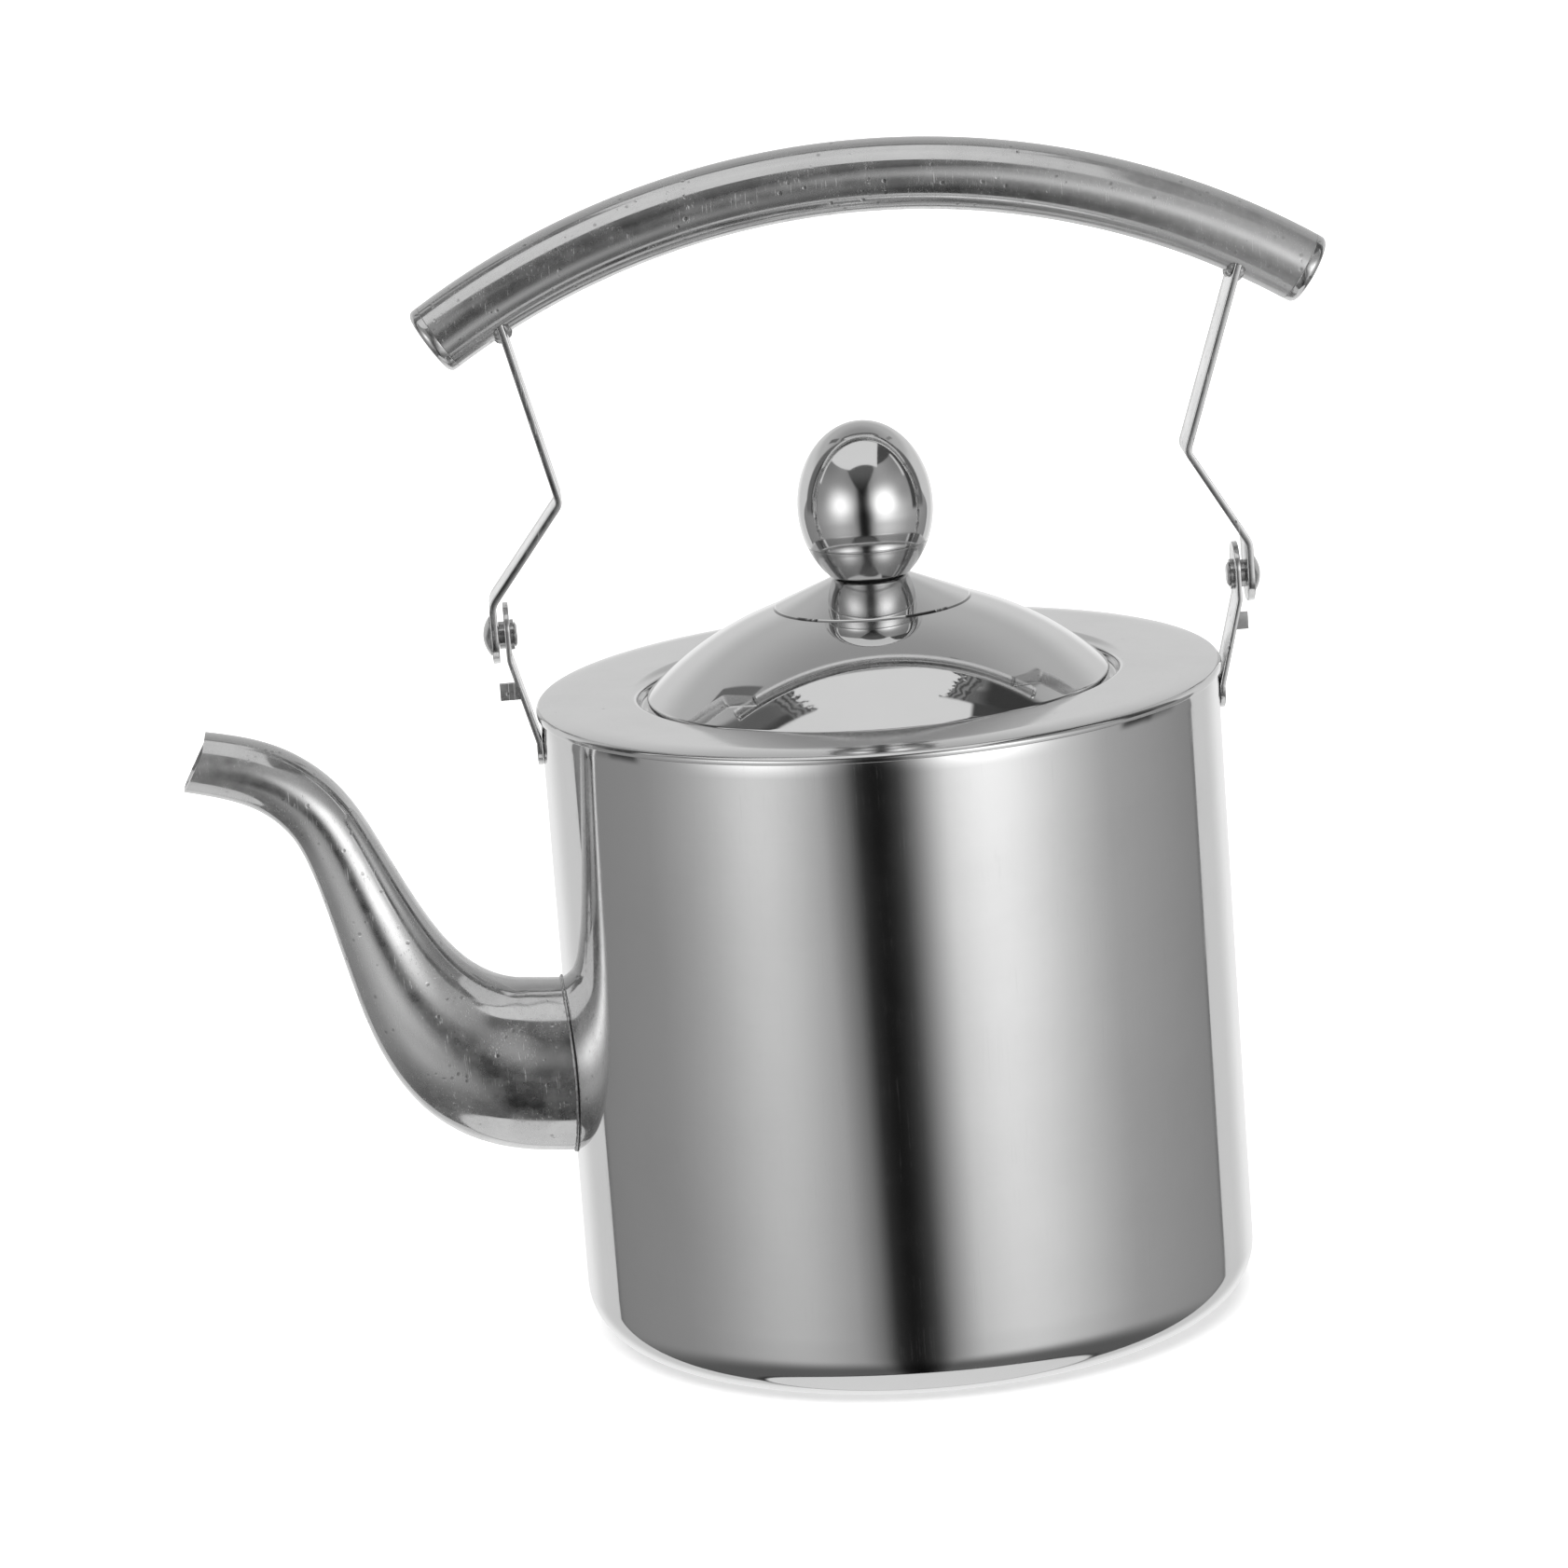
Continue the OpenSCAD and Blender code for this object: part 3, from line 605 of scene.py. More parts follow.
def spout_line(per=16, rounds=90):
    """The stations as a smooth line: a spline through them, then eased by repeated averaging."""
    p = np.array(SPOUT_STATIONS)
    p = np.vstack([2 * p[0] - p[1], p, 2 * p[-1] - p[-2]])
    line = []
    for a, b, c, d in zip(p, p[1:], p[2:], p[3:]):
        for t in np.arange(per) / per:
            line.append((2 * b + (c - a) * t + (2 * a - 5 * b + 4 * c - d) * t ** 2
                         + (3 * b - a - 3 * c + d) * t ** 3) / 2)
    line = np.array(line + [p[-2]])
    for _ in range(rounds):
        line[1:-1] = line[1:-1] / 2 + (line[:-2] + line[2:]) / 4
    return line


def saddle_x(y):
    """X of the body's outside, just clear of it, at distance y from the middle plane."""
    return -np.sqrt((BODY_R + GAP) ** 2 - y ** 2)


def spout_rings(line, inset, sides=112):
    """Rings of points `inset` inside the spout's outside, and where they lie on a straight spout."""
    angle = np.linspace(0, 2 * math.pi, sides, endpoint=False)
    ahead = np.gradient(line[:, :2], axis=0)
    along = np.concatenate([[0], np.cumsum(np.linalg.norm(np.diff(line[:, :2], axis=0), axis=1))])
    rings, grain = [], []
    for i, (x, z, half_h, half_w) in enumerate(line):
        way = unit(ahead[i]) if i else np.array([-1.0, 0.0])
        up = np.array([way[1], -way[0]])
        y = (half_w - inset) * np.cos(angle)
        rise = (half_h - inset) * np.sin(angle)
        lead = -SPOUT_BEVEL / 2 * np.sin(angle) if i == len(line) - 1 else 0 * angle
        px = x + up[0] * rise + way[0] * lead
        pz = z + up[1] * rise + way[1] * lead
        rings.append(np.stack([saddle_x(y) if i == 0 else px, y, pz], -1))
        grain.append(np.stack([y, rise, along[i] + 0 * y], -1))
    return rings, grain


def spout():
    """Swan-neck spout as one drawn tube."""
    line = spout_line()
    outer, outer_grain = spout_rings(line, 0)
    inner, inner_grain = spout_rings(line, SPOUT_T)
    piece = skin("spout", outer + inner[::-1], outer_grain + inner_grain[::-1])
    put(piece, "kettle", "spout_steel", "spout_tube")


def ripple(a, seed):
    """Small repeatable unevenness along a weld, from -1 to 1."""
    return (math.sin(9 * a + seed) + math.sin(23 * a + 2.1 * seed) + math.sin(41 * a + 0.7 * seed)) / 3


def spout_weld(sides=288):
    """Thin uneven bead in the corner between spout and body."""
    _, z, half_h, half_w = SPOUT_STATIONS[0]
    rings = []
    for k in range(sides):
        a = 2 * math.pi * k / sides
        y = half_w * math.cos(a)
        foot = np.array([saddle_x(y), y, z + half_h * math.sin(a)])
        out = unit(np.array([0, math.cos(a) / half_w, math.sin(a) / half_h]))
        off = unit(np.array([foot[0], foot[1], 0]))
        corner = foot + (out + off) * GAP
        size = BEAD + BEAD_RIPPLE * ripple(a, 1.0) + 0.03 * math.sin(70 * a)
        round_off = [corner + (out * math.cos(q) + off * math.sin(q)) * size
                     for q in np.linspace(0, math.pi / 2, 8)]
        rings.append([corner, *round_off])
    put(skin("spout_bead", rings, rings), "kettle", "weld", "spout_weld")


# ---- Strips: ears and straps ----

def strip(name, path, width, thick, round_end, edge=0.22):
    """Bent flat strip in the XZ plane with eased edges. Its first end is round; its last may be."""
    runs = np.linalg.norm(np.diff(path, axis=0), axis=1)
    place = np.concatenate([[0], np.cumsum(runs)])
    radius = width / 2
    curve = radius * (1 - np.cos(np.radians(np.linspace(7, 90, 24))))
    ends = [curve, place[-1] - curve] if round_end else [curve, [place[-1]]]
    inner = np.concatenate([place[(place > curve[-1]) & (place < min(ends[1]))],
                            np.arange(curve[-1], min(ends[1]), 1.5)])
    s = np.unique(np.round(np.concatenate([*ends, inner]), 4))
    points = np.array([[np.interp(v, place, [p[k] for p in path]) for k in (0, 1)] for v in s])
    side = mitres(list(points))
    rings, grain = [], []
    for at, p, m in zip(s, points, side):
        half = radius
        if at < radius:
            half = math.sqrt(radius ** 2 - (radius - at) ** 2)
        if round_end and at > place[-1] - radius:
            half = math.sqrt(max(radius ** 2 - (radius - place[-1] + at) ** 2, 0.01))
        ring = rounded_rectangle(half, thick / 2, min(edge, half * 0.8))
        rings.append([(p[0] + m[0] * n, y, p[1] + m[1] * n) for y, n in ring])
        grain.append([(y, n, at) for y, n in ring])
    return skin(name, rings, grain, ends="capped")


def rounded_rectangle(half_y, half_n, edge, steps=4):
    """Outline of a strip's cross-section, going round once."""
    out = []
    for sy, sn, start in ((1, 1, 0), (-1, 1, 90), (-1, -1, 180), (1, -1, 270)):
        for q in np.radians(np.linspace(start, start + 90, steps + 1)):
            out.append((sy * (half_y - edge) + edge * math.cos(q), sn * (half_n - edge) + edge * math.sin(q)))
    return out


def about_pivot(piece, side):
    """Moves a piece turned about Z to the pivot's axis, on the given side."""
    piece.data.transform(
        Matrix.Rotation(0 if side == REAR else math.pi, 4, "Z")
        @ Matrix.Translation((0, 0, PIVOT_Z * MM)) @ Matrix.Rotation(math.pi / 2, 4, "Y"))
    return piece


def rod(name, radius, z0, z1, turns=64):
    """Plain cutter about Z."""
    outline = [np.array(p, float) for p in ((0, z0), (radius, z0), (radius, z1), (0, z1))]
    return lathe(name, outline, turns=turns, longest=100)


def ear(side):
    """Ear strip with its stop tab and rivet hole."""
    name = "ear_front" if side == FRONT else "ear_rear"
    path = bent_path([
        (TONGUE_X, DECK_Z - TONGUE_DROP, 0), (TONGUE_X, EAR_LEAN_Z, 3),
        (EAR_X, EAR_BEND_Z, 5), (EAR_X, PIVOT_Z + EAR_TOP, 0)])
    piece = strip(name + "_strip", path, EAR_W, EAR_T, round_end=True)
    tab_low = PIVOT_Z - TAB["drop"] - TAB["height"]
    lean = (EAR_X - TONGUE_X) / (EAR_BEND_Z - EAR_LEAN_Z)
    tab_x = TONGUE_X + (tab_low + TAB["height"] / 2 - EAR_LEAN_Z) * lean
    tab = rounded_rectangle(EAR_T / 2, TAB["height"] / 2, 0.2)
    tab_y, tab_z = EAR_W / 2 - EAR_T / 2 - 0.01, tab_low + TAB["height"] / 2
    rings = [[(x, tab_y + y, tab_z + n) for y, n in tab] for x in (tab_x, tab_x + TAB["reach"])]
    combine(piece, skin("tab", rings, rings, ends="capped"), "UNION")
    piece.data.transform(Matrix.Rotation(0 if side == REAR else math.pi, 4, "Z"))
    combine(piece, about_pivot(rod("hole", SHANK_R + GAP, EAR_X - 4, EAR_X + 4), side))
    put(piece, "kettle", "strip_steel", name)


def rivet(side):
    """Domed rivet with its shank and upset end."""
    name = "rivet_front" if side == FRONT else "rivet_rear"
    washer_x = EAR_X - EAR_T / 2 - WASHER_T - 2 * GAP
    curve = (HEAD_R ** 2 + HEAD_H ** 2) / (2 * HEAD_H)
    dome = arc((0, HEAD_X + HEAD_H), (HEAD_R, HEAD_X), curve, 20)
    outline = [(0, washer_x - TAIL_H), (SHANK_R, washer_x - TAIL_H), (TAIL_R, washer_x - TAIL_EDGE),
               (TAIL_R, washer_x), (SHANK_R, washer_x), (SHANK_R, HEAD_X), *dome[::-1]]
    piece = lathe(name + "_steel", eased([np.array(p, float) for p in outline], 0.3), turns=96, longest=1.0)
    put(about_pivot(piece, side), "kettle", "rivet_steel", name)


def strap_top(side):
    """Place of a strap's top end, and the arch's angle there."""
    x = side * STRAP_TOP_X + STRAP_SET
    angle = math.asin((x - GRIP_SET) / ARCH_R)
    return np.array([x, ARCH_Z + ARCH_R * math.cos(angle) - GRIP_R / 2]), angle


def knee(side):
    return np.array([side * KNEE_X + KNEE_SET, PIVOT_Z + KNEE_H])


def at_arch(angle):
    """Frame on the middle of the grip tube, X along the tube, in metres."""
    return (Matrix.Translation((GRIP_SET * MM, 0, ARCH_Z * MM)) @ Matrix.Rotation(angle, 4, "Y")
            @ Matrix.Translation((0, 0, ARCH_R * MM)))


def strap(side):
    """Bent strap with its rivet hole, its top end cut to the grip tube."""
    name = "strap_front" if side == FRONT else "strap_rear"
    end, angle = strap_top(side)
    path = bent_path([
        (side * STRAP_X, PIVOT_Z - STRAP_W / 2, 0), (side * STRAP_X, PIVOT_Z + STRAP_BEND_H, 4),
        (*knee(side), 2.5), (*end, 0)])
    piece = strip(name + "_strip", path, STRAP_W, STRAP_T, round_end=False)
    combine(piece, about_pivot(rod("hole", SHANK_R + RUN_GAP, STRAP_X - 4, STRAP_X + 4), side))
    tube = rod("tube", GRIP_R + GAP, -15, 15, turns=128)
    tube.data.transform(at_arch(angle) @ Matrix.Rotation(math.pi / 2, 4, "Y"))
    combine(piece, tube)
    put(piece, "bail", "strip_steel", name)


def strap_weld(side):
    """Lumpy bead on each face of the strap, along its seat on the tube."""
    name = "strap_weld_front" if side == FRONT else "strap_weld_rear"
    end, angle = strap_top(side)
    run = end - knee(side)
    lean = math.atan2(run[0], run[1]) - angle
    local = turned(np.array([0, -GRIP_R / 2]), angle)
    beads = []
    for face in (-1, 1):
        rings = []
        sweep = np.radians(np.linspace(-48, 48, 49))
        for a in sweep:
            y, z = (GRIP_R + GAP) * math.sin(a), -(GRIP_R + GAP) * math.cos(a)
            seat = local[0] - (local[1] - z) * math.tan(lean) + face * (STRAP_T / 2 / math.cos(lean) + GAP)
            out = np.array([0, math.sin(a), -math.cos(a)])
            fade = math.sqrt(max(0.02, 1 - (abs(a) / sweep[-1]) ** 6))
            size = (0.95 + 0.3 * ripple(a, face + 2.0 * side) + 0.35 * (abs(a) / sweep[-1]) ** 3) * fade
            corner, aside = np.array([seat, y, z]), np.array([face, 0, 0])
            round_off = [corner + (out * math.cos(q) + aside * math.sin(q)) * size
                         for q in np.linspace(0, math.pi / 2, 8)]
            rings.append([corner, *round_off])
        beads.append(skin(name, rings, rings, ends="capped"))
    bead, other = beads
    work = bmesh.new()
    work.from_mesh(bead.data)
    work.from_mesh(other.data)
    work.to_mesh(bead.data)
    work.free()
    bpy.data.objects.remove(other)
    bead.name = name + "_bead"
    bead.data.transform(at_arch(angle))
    put(bead, "bail", "weld", name)


# ---- Grip ----

def arch_rings(radius, a0, a1, steps, sides):
    """Rings of a tube of this radius along the arch, and where they lie on a straight tube."""
    around = np.linspace(0, 2 * math.pi, sides, endpoint=False)
    rings, grain = [], []
    for a in np.linspace(a0, a1, steps + 1):
        reach = ARCH_R + radius * np.cos(around)
        y = radius * np.sin(around)
        rings.append(np.stack([GRIP_SET + reach * math.sin(a), y, ARCH_Z + reach * math.cos(a)], -1))
        grain.append(np.stack([radius * np.cos(around), y, ARCH_R * a + 0 * y], -1))
    return rings, grain


def grip():
    """Bent grip tube with its two pressed end caps."""
    outer, outer_grain = arch_rings(GRIP_R, -TUBE_HALF, TUBE_HALF, 180, 112)
    inner, inner_grain = arch_rings(GRIP_R - GRIP_T, TUBE_HALF, -TUBE_HALF, 180, 112)
    tube = skin("grip", outer + inner, outer_grain + inner_grain)
    put(tube, "bail", "grip_steel", "grip_tube")
    edge, spigot_r, spigot_len = 1.3, GRIP_R - GRIP_T - 0.12, 4.0
    corner = [(GRIP_R - edge + edge * math.cos(q), CAP_LEN - edge + edge * math.sin(q))
              for q in np.radians(np.linspace(0, 90, 13))]
    outline = [(spigot_r, -spigot_len), (spigot_r, GAP), (GRIP_R, GAP), *corner, (0, CAP_LEN),
               (0, CAP_LEN - GRIP_T), (spigot_r - GRIP_T, CAP_LEN - GRIP_T), (spigot_r - GRIP_T, -spigot_len)]
    for side, name in ((FRONT, "grip_cap_front"), (REAR, "grip_cap_rear")):
        cap = lathe(name + "_pressing", eased([np.array(p, float) for p in outline]), turns=112, longest=1.5)
        cap.data.transform(at_arch(side * TUBE_HALF) @ Matrix.Rotation(side * math.pi / 2, 4, "Y"))
        put(cap, "bail", "grip_steel", name)


# ---- Studio ----

# The room: places are in degrees, round from the camera to the right and up from the horizon
CAMERA_TURN = 2.9  # the camera stands this far to the left of -Y
# Light level at the height of the body: two tall soft lights either side of a dark gap, each fading
# to the plain side level
FRONT_LEVELS = [
    (-130, 0.10), (-126, 0.27), (-88, 0.27), (-65, 0.45), (-43, 0.68), (-22, 0.38), (-14, 0.18),
    (-9, 0.0), (4, 0.0), (12, 0.36), (20, 0.74), (36, 0.97), (57, 0.68), (80, 0.37), (126, 0.29), (130, 0.10)]
FRONT_REACH = 130  # the stops above run this far to either side
SIDE_LEVEL = 0.27
WHITE_LEVEL = 0.76  # of the table and the overhead light
BACKDROP_LEVEL = 0.92
TABLE_DIP = -61  # where the white table begins
# (place, size, level) of the brightest part of each light
HOT_SPOTS = [((-42, 4), (46, 28), 1.0), ((33, 5), (46, 28), 1.3)]
GAP_MIDDLE = -5  # of the dark gap where it widens
# ((left, right, low, high), softness, level) of the dark strips past the lights and a slit beside each
SIDE_STRIPS = [
    ((-117, -101, -8.5, 75), 5, 0.15), ((-104, -90, -8.5, 75), 4, 0.055),
    ((99, 115, -8.5, 75), 5, 0.14), ((87, 102, -8.5, 75), 4, 0.06),
    ((-91, -86, 17, 43), 2, 0.75), ((82, 86.5, 20, 66), 2, 0.70)]

# Overhead: places are degrees sideways and backwards from straight up
OVERHEAD_DARKS = [((-50, -26, 7, 17), 5, 0.12), ((27, 46, 4, 18), 5, 0.045)]
CURTAIN, CURTAIN_LEVEL = (24, 60, -40, -3), 0.07
# Half width and back edge of the overhead light inside its corners, and the corners' radius
LIGHT_SIDE, LIGHT_BACK, LIGHT_CORNER = 17, 11.6, 4
CLOTH_WIDTH, HEM_MIDDLE, CLOTH_LEVEL, FOLD_PITCH = 5.5, 2.7, 0.16, 1.6
# (place, half size, turn, level) of the loose panels beside the cloth frame
LOOSE_PANELS = [((-31.4, 31.2), (3.2, 7.2), 24, 0.15), ((37, 29), (1.8, 7), -8, 0.24)]


def degrees(value):
    """An angle given in degrees, in radians."""
    return math.radians(value)


def within(t, value, low, high, soft):
    """1 where the value lies from low to high degrees and 0 elsewhere, with edges this soft."""
    rise = t.span(value, degrees(low - soft / 2), degrees(low + soft / 2))
    fall = t.span(value, degrees(high - soft / 2), degrees(high + soft / 2), 1.0, 0.0)
    return t.math("MULTIPLY", rise, fall)


def window(t, across, up, bounds, soft):
    """1 inside the bounds (left, right, low, high in degrees) and 0 outside them."""
    return t.math("MULTIPLY", within(t, across, *bounds[:2], soft), within(t, up, *bounds[2:], soft))


def hot_spot(t, azimuth, height, place, size, level):
    """Brightest part of one soft light."""
    off = 0.0
    for value, middle, reach in zip((azimuth, height), place, size):
        away = t.math("DIVIDE", t.math("SUBTRACT", value, degrees(middle)), degrees(reach))
        off = t.math("ADD", off, t.math("MULTIPLY", away, away))
    glow = t.span(t.math("SQRT", off), 0.0, 1.0, 1.0, 0.0)
    return t.math("MULTIPLY", t.math("POWER", glow, 2.0), level)


def front_lights(t, azimuth, height):
    """The half of the room on the camera's side, up to the overhead light."""
    reach = FRONT_REACH
    stops = [((place + reach) / (2 * reach), level) for place, level in FRONT_LEVELS]
    front = t.ramp(t.span(azimuth, degrees(-reach), degrees(reach), kind="LINEAR"), stops, kind="B_SPLINE")
    # What the two lights add to the plain side level changes with height
    fade = t.span(height, degrees(-19), degrees(-13), 0.72, 1.18, kind="LINEAR")
    fade = t.math("MULTIPLY", fade, t.span(height, degrees(-46), degrees(-22), 0.15, 1.0))
    fade = t.math("MULTIPLY", fade, t.span(height, degrees(-6), degrees(10), 1.0, 0.3))
    extra = t.math("MULTIPLY", t.math("MAXIMUM", t.math("SUBTRACT", front, SIDE_LEVEL), 0.0), fade)
    front = t.math("ADD", t.math("MINIMUM", front, SIDE_LEVEL), extra)
    for place, size, level in HOT_SPOTS:
        front = t.math("ADD", front, hot_spot(t, azimuth, height, place, size, level))
    front = t.math("MULTIPLY", front, t.span(height, degrees(14), degrees(36), 1.0, 0.75))
    front = t.math("MULTIPLY", front, t.span(height, degrees(-50), degrees(-26), 0.4, 1.0))
    # The gap widens towards the top
    half = t.span(height, degrees(18), degrees(42), degrees(5), degrees(31), kind="LINEAR")
    off = t.math("ABSOLUTE", t.math("SUBTRACT", azimuth, degrees(GAP_MIDDLE)))
    past = t.math("SUBTRACT", off, half)
    gap = t.math("MULTIPLY", t.span(past, degrees(-3), degrees(3), 1.0, 0.0), within(t, height, 20, 80, 6))
    return mixed(t, gap, front, t.span(height, degrees(16), degrees(42), 0.02, 0.11))


def overhead_map(t, x, y, z):
    """Angles sideways, backwards and in all from straight up."""
    off = t.math("ARCCOSINE", t.math("MINIMUM", z, 0.99999))
    flat = t.math("SQRT", t.math("ADD", t.math("MULTIPLY", x, x), t.math("MULTIPLY", y, y)))
    scale = t.math("DIVIDE", off, t.math("MAXIMUM", flat, 1e-5))
    return t.math("MULTIPLY", x, scale), t.math("MULTIPLY", y, scale), off


def light_rim(t, side, back, loose, wobble):
    """Angle past the overhead light's edge: its back edge is bowed, its corners round, its sides lean in."""
    lean = t.math("MULTIPLY", t.math("MAXIMUM", t.math("SUBTRACT", degrees(13), back), 0.0), 0.4)
    past_side = t.math("SUBTRACT", t.math("ADD", t.math("ABSOLUTE", side), lean), degrees(LIGHT_SIDE))
    bowed = t.math("MULTIPLY", t.math("MULTIPLY", side, side), 0.35)
    past_back = t.math("SUBTRACT", t.math("SUBTRACT", back, bowed), degrees(LIGHT_BACK))
    corner = [t.math("POWER", t.math("MAXIMUM", past, 0.0), 2.0) for past in (past_side, past_back)]
    rim = t.math("SUBTRACT", t.math("SQRT", t.math("ADD", *corner)), degrees(LIGHT_CORNER))
    return t.math("ADD", rim, t.math("MULTIPLY", wobble, t.math("MULTIPLY", loose, degrees(5))))


def cloth_frame(t, back, rim, loose, ragged, room):
    """Cloth along the overhead light's edge, with folds that show most at the corners."""
    folds = t.math("SINE", t.math("MULTIPLY", rim, 2 * math.pi / degrees(FOLD_PITCH)))
    folds = t.math("MULTIPLY", folds, t.math("ADD", t.math("MULTIPLY", loose, 0.07), 0.02))
    hem = t.math("ABSOLUTE", t.math("SUBTRACT", rim, degrees(HEM_MIDDLE)))
    hem = t.span(hem, degrees(1.9), degrees(2.6), 1.0, 0.6)
    cloth = t.math("MULTIPLY", t.math("ADD", folds, CLOTH_LEVEL), hem)
    end = t.math("ADD", back, t.math("MULTIPLY", ragged, degrees(9)))
    mask = t.math("MULTIPLY", t.span(rim, degrees(CLOTH_WIDTH - 0.3), degrees(CLOTH_WIDTH + 0.3), 1.0, 0.0),
                  t.span(end, degrees(2.0), degrees(4.5)))
    return mixed(t, mask, room, cloth)


def overhead(t, direction, x, y, z, room):
    """Flat light above the kettle with a cloth frame round its back half."""
    side, back, off = overhead_map(t, x, y, z)
    wobble = t.math("SUBTRACT", t.noise(direction, 12.0, 3.0), 0.5)
    ragged = t.math("SUBTRACT", t.noise(direction, 42.0, 3.0), 0.5)
    loose = t.span(t.math("ABSOLUTE", side), degrees(9), degrees(19))

    curtain = t.math("MULTIPLY", window(t, side, back, CURTAIN, 2),
                     t.span(off, degrees(43), degrees(45), 1.0, 0.0))
    room = mixed(t, curtain, room, CURTAIN_LEVEL)
    for bounds, soft, level in OVERHEAD_DARKS:
        room = mixed(t, window(t, side, back, bounds, soft), room, level)
    rim = light_rim(t, side, back, loose, wobble)
    room = cloth_frame(t, back, rim, loose, ragged, room)
    for place, size, turn, level in LOOSE_PANELS:
        c, s = math.cos(degrees(turn)), math.sin(degrees(turn))
        u, v = t.math("SUBTRACT", side, degrees(place[0])), t.math("SUBTRACT", back, degrees(place[1]))
        along = t.math("SUBTRACT", t.math("MULTIPLY", v, c), t.math("MULTIPLY", u, s))
        across = t.math("ADD", t.math("MULTIPLY", u, c), t.math("MULTIPLY", v, s))
        room = mixed(t, window(t, across, along, (-size[0], size[0], -size[1], size[1]), 1), room, level)
    # The light itself: narrow behind, wider towards the camera
    torn = t.math("ADD", rim, t.math("MULTIPLY", ragged, t.math("MULTIPLY", loose, degrees(9))))
    narrow = t.math("MULTIPLY", t.span(torn, degrees(-0.5), degrees(0.5), 1.0, 0.0),
                    within(t, back, -44, 40, 1.5))
    wide = t.math("MULTIPLY", window(t, side, back, (-51, 25, -40, 3.5), 1.5),
                  t.span(off, degrees(47), degrees(48.5), 1.0, 0.0))
    return mixed(t, t.math("MAXIMUM", narrow, wide), room, WHITE_LEVEL)


def studio_world():
    """Room seen only in reflections and as fill light; straight on, the camera sees plain white."""
    world = bpy.data.worlds.new("studio")
    bpy.context.scene.world = world
    world.use_nodes = True
    t = Tree(world)
    direction = t.add("ShaderNodeTexCoord").outputs["Generated"]
    x, y, z = t.add("ShaderNodeSeparateXYZ", {"Vector": direction}).outputs
    azimuth = t.math("ARCTAN2", x, t.math("MULTIPLY", y, -1.0))
    azimuth = t.math("ADD", azimuth, degrees(CAMERA_TURN))
    height = t.math("ARCSINE", z)

    front = front_lights(t, azimuth, height)
    edge = t.span(height, degrees(-12), degrees(2), degrees(129), degrees(115))
    behind = t.math("GREATER_THAN", t.math("ABSOLUTE", azimuth), edge)
    surround = t.math("MULTIPLY", t.span(height, degrees(14), degrees(30), 0.68, 0.50),
                      t.span(height, degrees(32), degrees(64), 1.0, 0.66))
    # Straight behind the kettle the backdrop is white
    backdrop = t.math("MULTIPLY", t.span(t.math("ABSOLUTE", azimuth), degrees(140), degrees(160)),
                      t.span(height, degrees(-1), degrees(8), 1.0, 0.0))
    surround = mixed(t, backdrop, surround, BACKDROP_LEVEL)
    # Past the overhead light everything is as pale as the surround
    behind = t.math("MAXIMUM", behind, t.math("MULTIPLY", t.span(height, degrees(44), degrees(50)),
                                              t.math("GREATER_THAN", y, 0.0)))
    room = mixed(t, behind, front, surround)
    for bounds, soft, level in SIDE_STRIPS:
        room = mixed(t, window(t, azimuth, height, bounds, soft), room, level)
    room = overhead(t, direction, x, y, z, room)
    # White table, past a thin dark edge
    off_edge = t.math("ABSOLUTE", t.math("SUBTRACT", height, degrees(TABLE_DIP)))
    room = t.math("MULTIPLY", room, t.span(off_edge, 0.0, degrees(2), 0.35, 1.0))
    table = t.span(height, degrees(TABLE_DIP - 1), degrees(TABLE_DIP), 1.0, 0.0)
    light = mixed(t, table, room, WHITE_LEVEL)
    seen = t.add("ShaderNodeLightPath").outputs["Is Camera Ray"]
    light = mixed(t, seen, light, 1.0)
    shader = t.add("ShaderNodeBackground", {"Color": light, "Strength": 1.0})
    t.add("ShaderNodeOutputWorld", {"Surface": shader.outputs[0]})


FLOOR_DROP = 5e-5  # the floor lies a hair below the base, so that the two faces don't share a plane


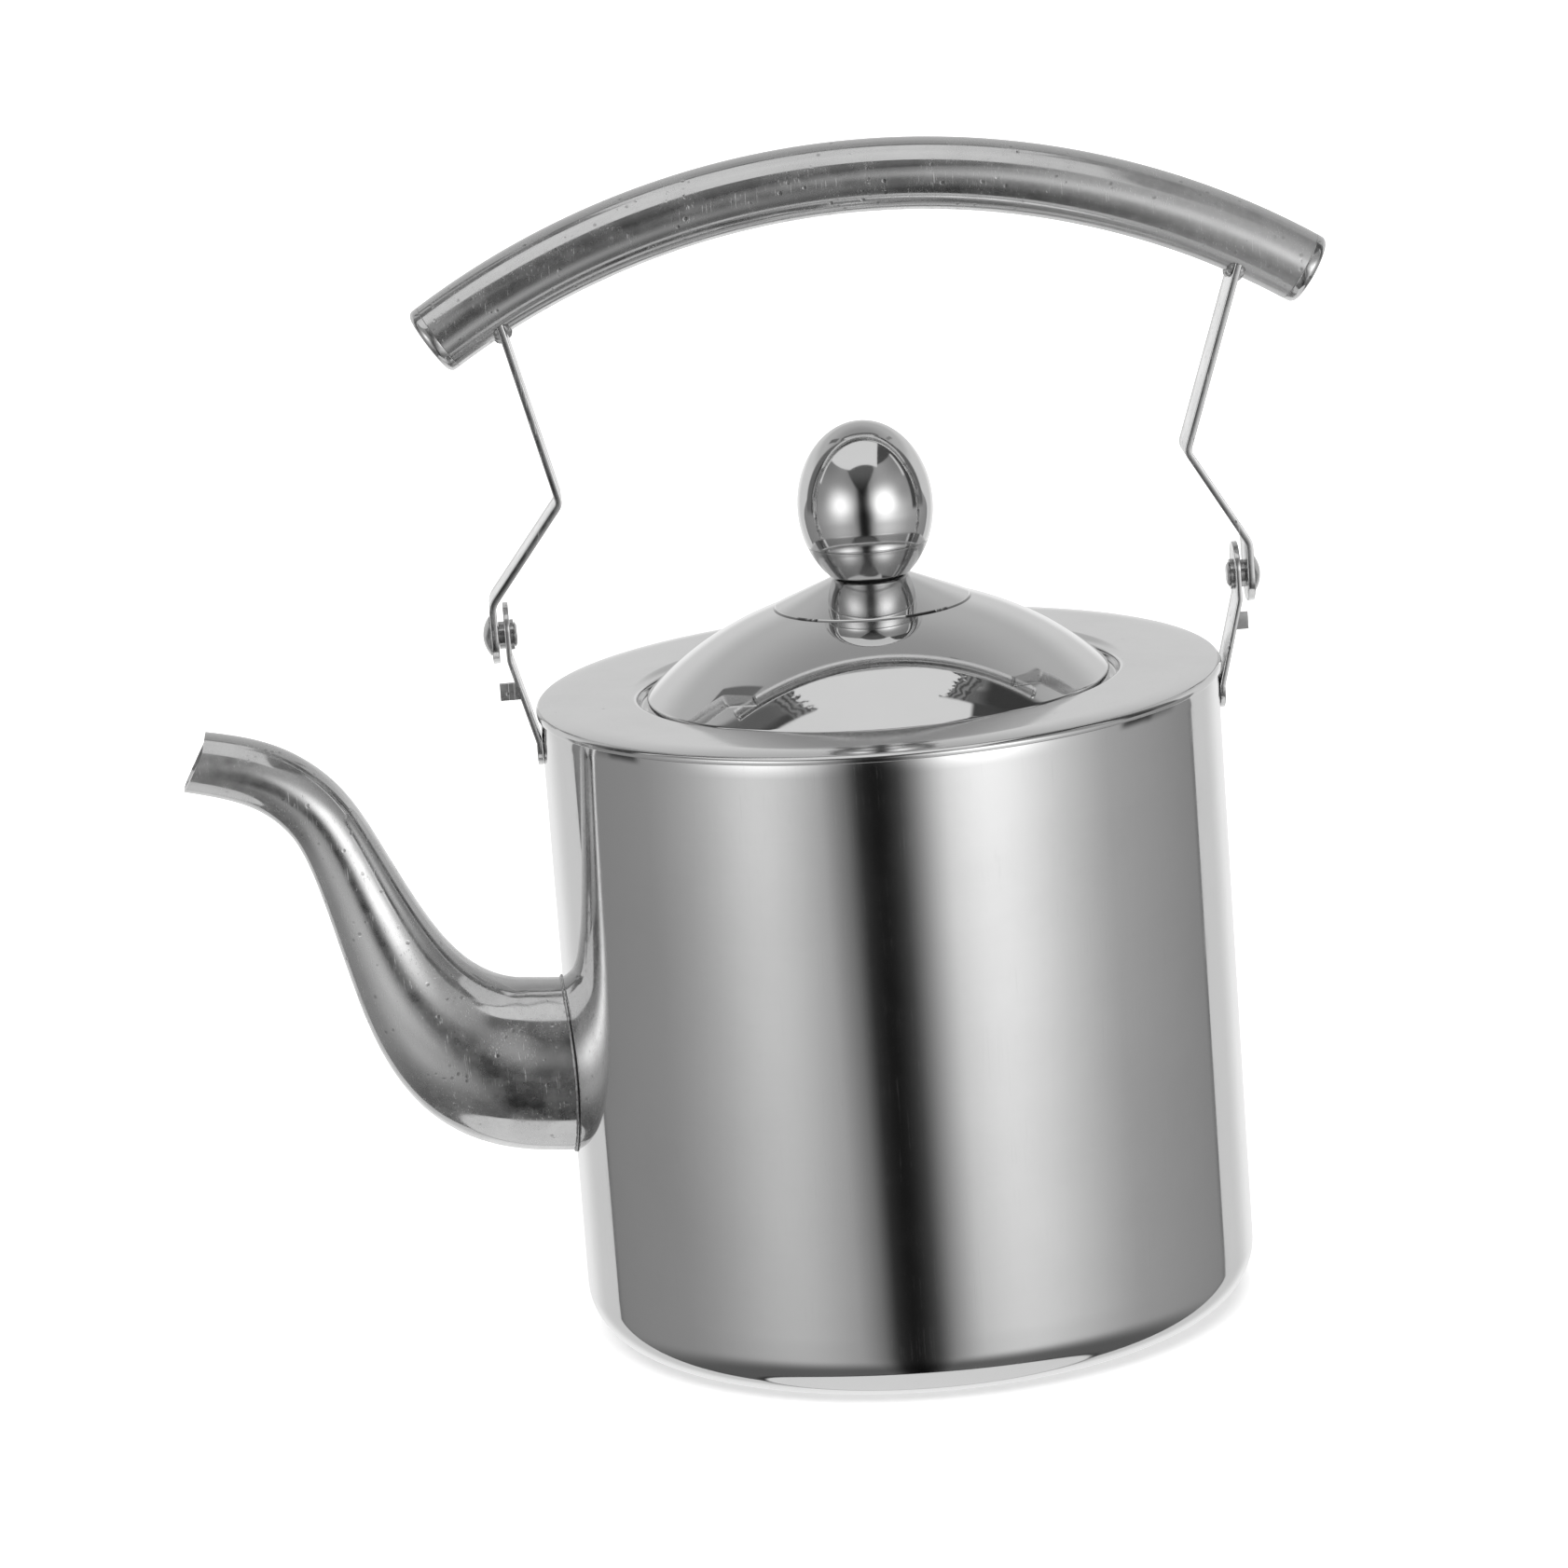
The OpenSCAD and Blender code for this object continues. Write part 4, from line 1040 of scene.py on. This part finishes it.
def floor():
    """Plain pale floor. Reflections see the studio's white table instead of it."""
    mesh = bpy.data.meshes.new("floor")
    half, low = 14.0, -FLOOR_DROP
    corners = [(-half, -half, low), (half, -half, low), (half, half, low), (-half, half, low)]
    mesh.from_pydata(corners, [], [(0, 1, 2, 3)])
    piece = bpy.data.objects.new("floor", mesh)
    bpy.context.scene.collection.objects.link(piece)
    material = bpy.data.materials.new("floor_paper")
    material.use_nodes = True
    t = Tree(material)
    place = t.add("ShaderNodeTexCoord").outputs["Object"]
    tone = t.ramp(t.noise(place, 220.0, 4.0), [(0.3, 0.90), (0.7, 0.92)])
    shader = t.add("ShaderNodeBsdfPrincipled", {
        "Base Color": tone, "Roughness": 0.9, "Specular IOR Level": 0.1,
        "Emission Color": tone, "Emission Strength": 0.55})
    t.add("ShaderNodeOutputMaterial", {"Surface": shader.outputs[0]})
    mesh.materials.append(material)
    piece.visible_glossy = False


def key_light():
    """Wide soft light from above the camera, for the floor and its soft shadow."""
    light = bpy.data.lights.new("overhead", "SUN")
    light.energy = 2.4
    light.angle = math.radians(70)
    lamp = bpy.data.objects.new("overhead", light)
    lamp.rotation_euler = (math.radians(12), math.radians(-8), 0)
    lamp.visible_glossy = False
    bpy.context.scene.collection.objects.link(lamp)


def camera():
    """The photograph's view: a long lens from the front, a little above, the frame rolled."""
    data = bpy.data.cameras.new("view")
    data.sensor_width = 36.0
    data.lens = 147.1
    data.clip_start, data.clip_end = 0.05, 60.0
    piece = bpy.data.objects.new("view", data)
    turn, down, roll = math.radians(-2.0), math.radians(13.04), math.radians(-4.40)
    place = Vector((-65.3, -1275.9, 408.2)) * MM
    look = (Matrix.Rotation(turn, 4, "Z") @ Matrix.Rotation(math.pi / 2 - down, 4, "X")
            @ Matrix.Rotation(roll, 4, "Z"))
    piece.matrix_world = Matrix.Translation(place) @ look
    bpy.context.scene.collection.objects.link(piece)
    bpy.context.scene.camera = piece


# ---- Build ----

body()
deck()
lid()
knob()
spout()
spout_weld()
for which in (FRONT, REAR):
    ear(which)
    rivet(which)
    strap(which)
    strap_weld(which)
grip()

CAD_FINISH = {
    "lid_steel": ["lid_collar"],
    "rivet_steel": ["spacer_front", "spacer_rear", "rivet_washer_front", "rivet_washer_rear"],
    "fastener_steel": ["knob_insert", "knob_screw", "knob_washer"],
    # The seal's near-black finish is partly painted shade under the knob
    "gasket": ["knob_seal"],
}
for slot, names in CAD_FINISH.items():
    for node in names:
        frame["nodes"][node].data.materials.clear()
        frame["nodes"][node].data.materials.append(MATERIALS[slot])

studio_world()
floor()
key_light()
camera()
bpy.context.scene.view_settings.view_transform = "Standard"
bpy.context.view_layer.update()
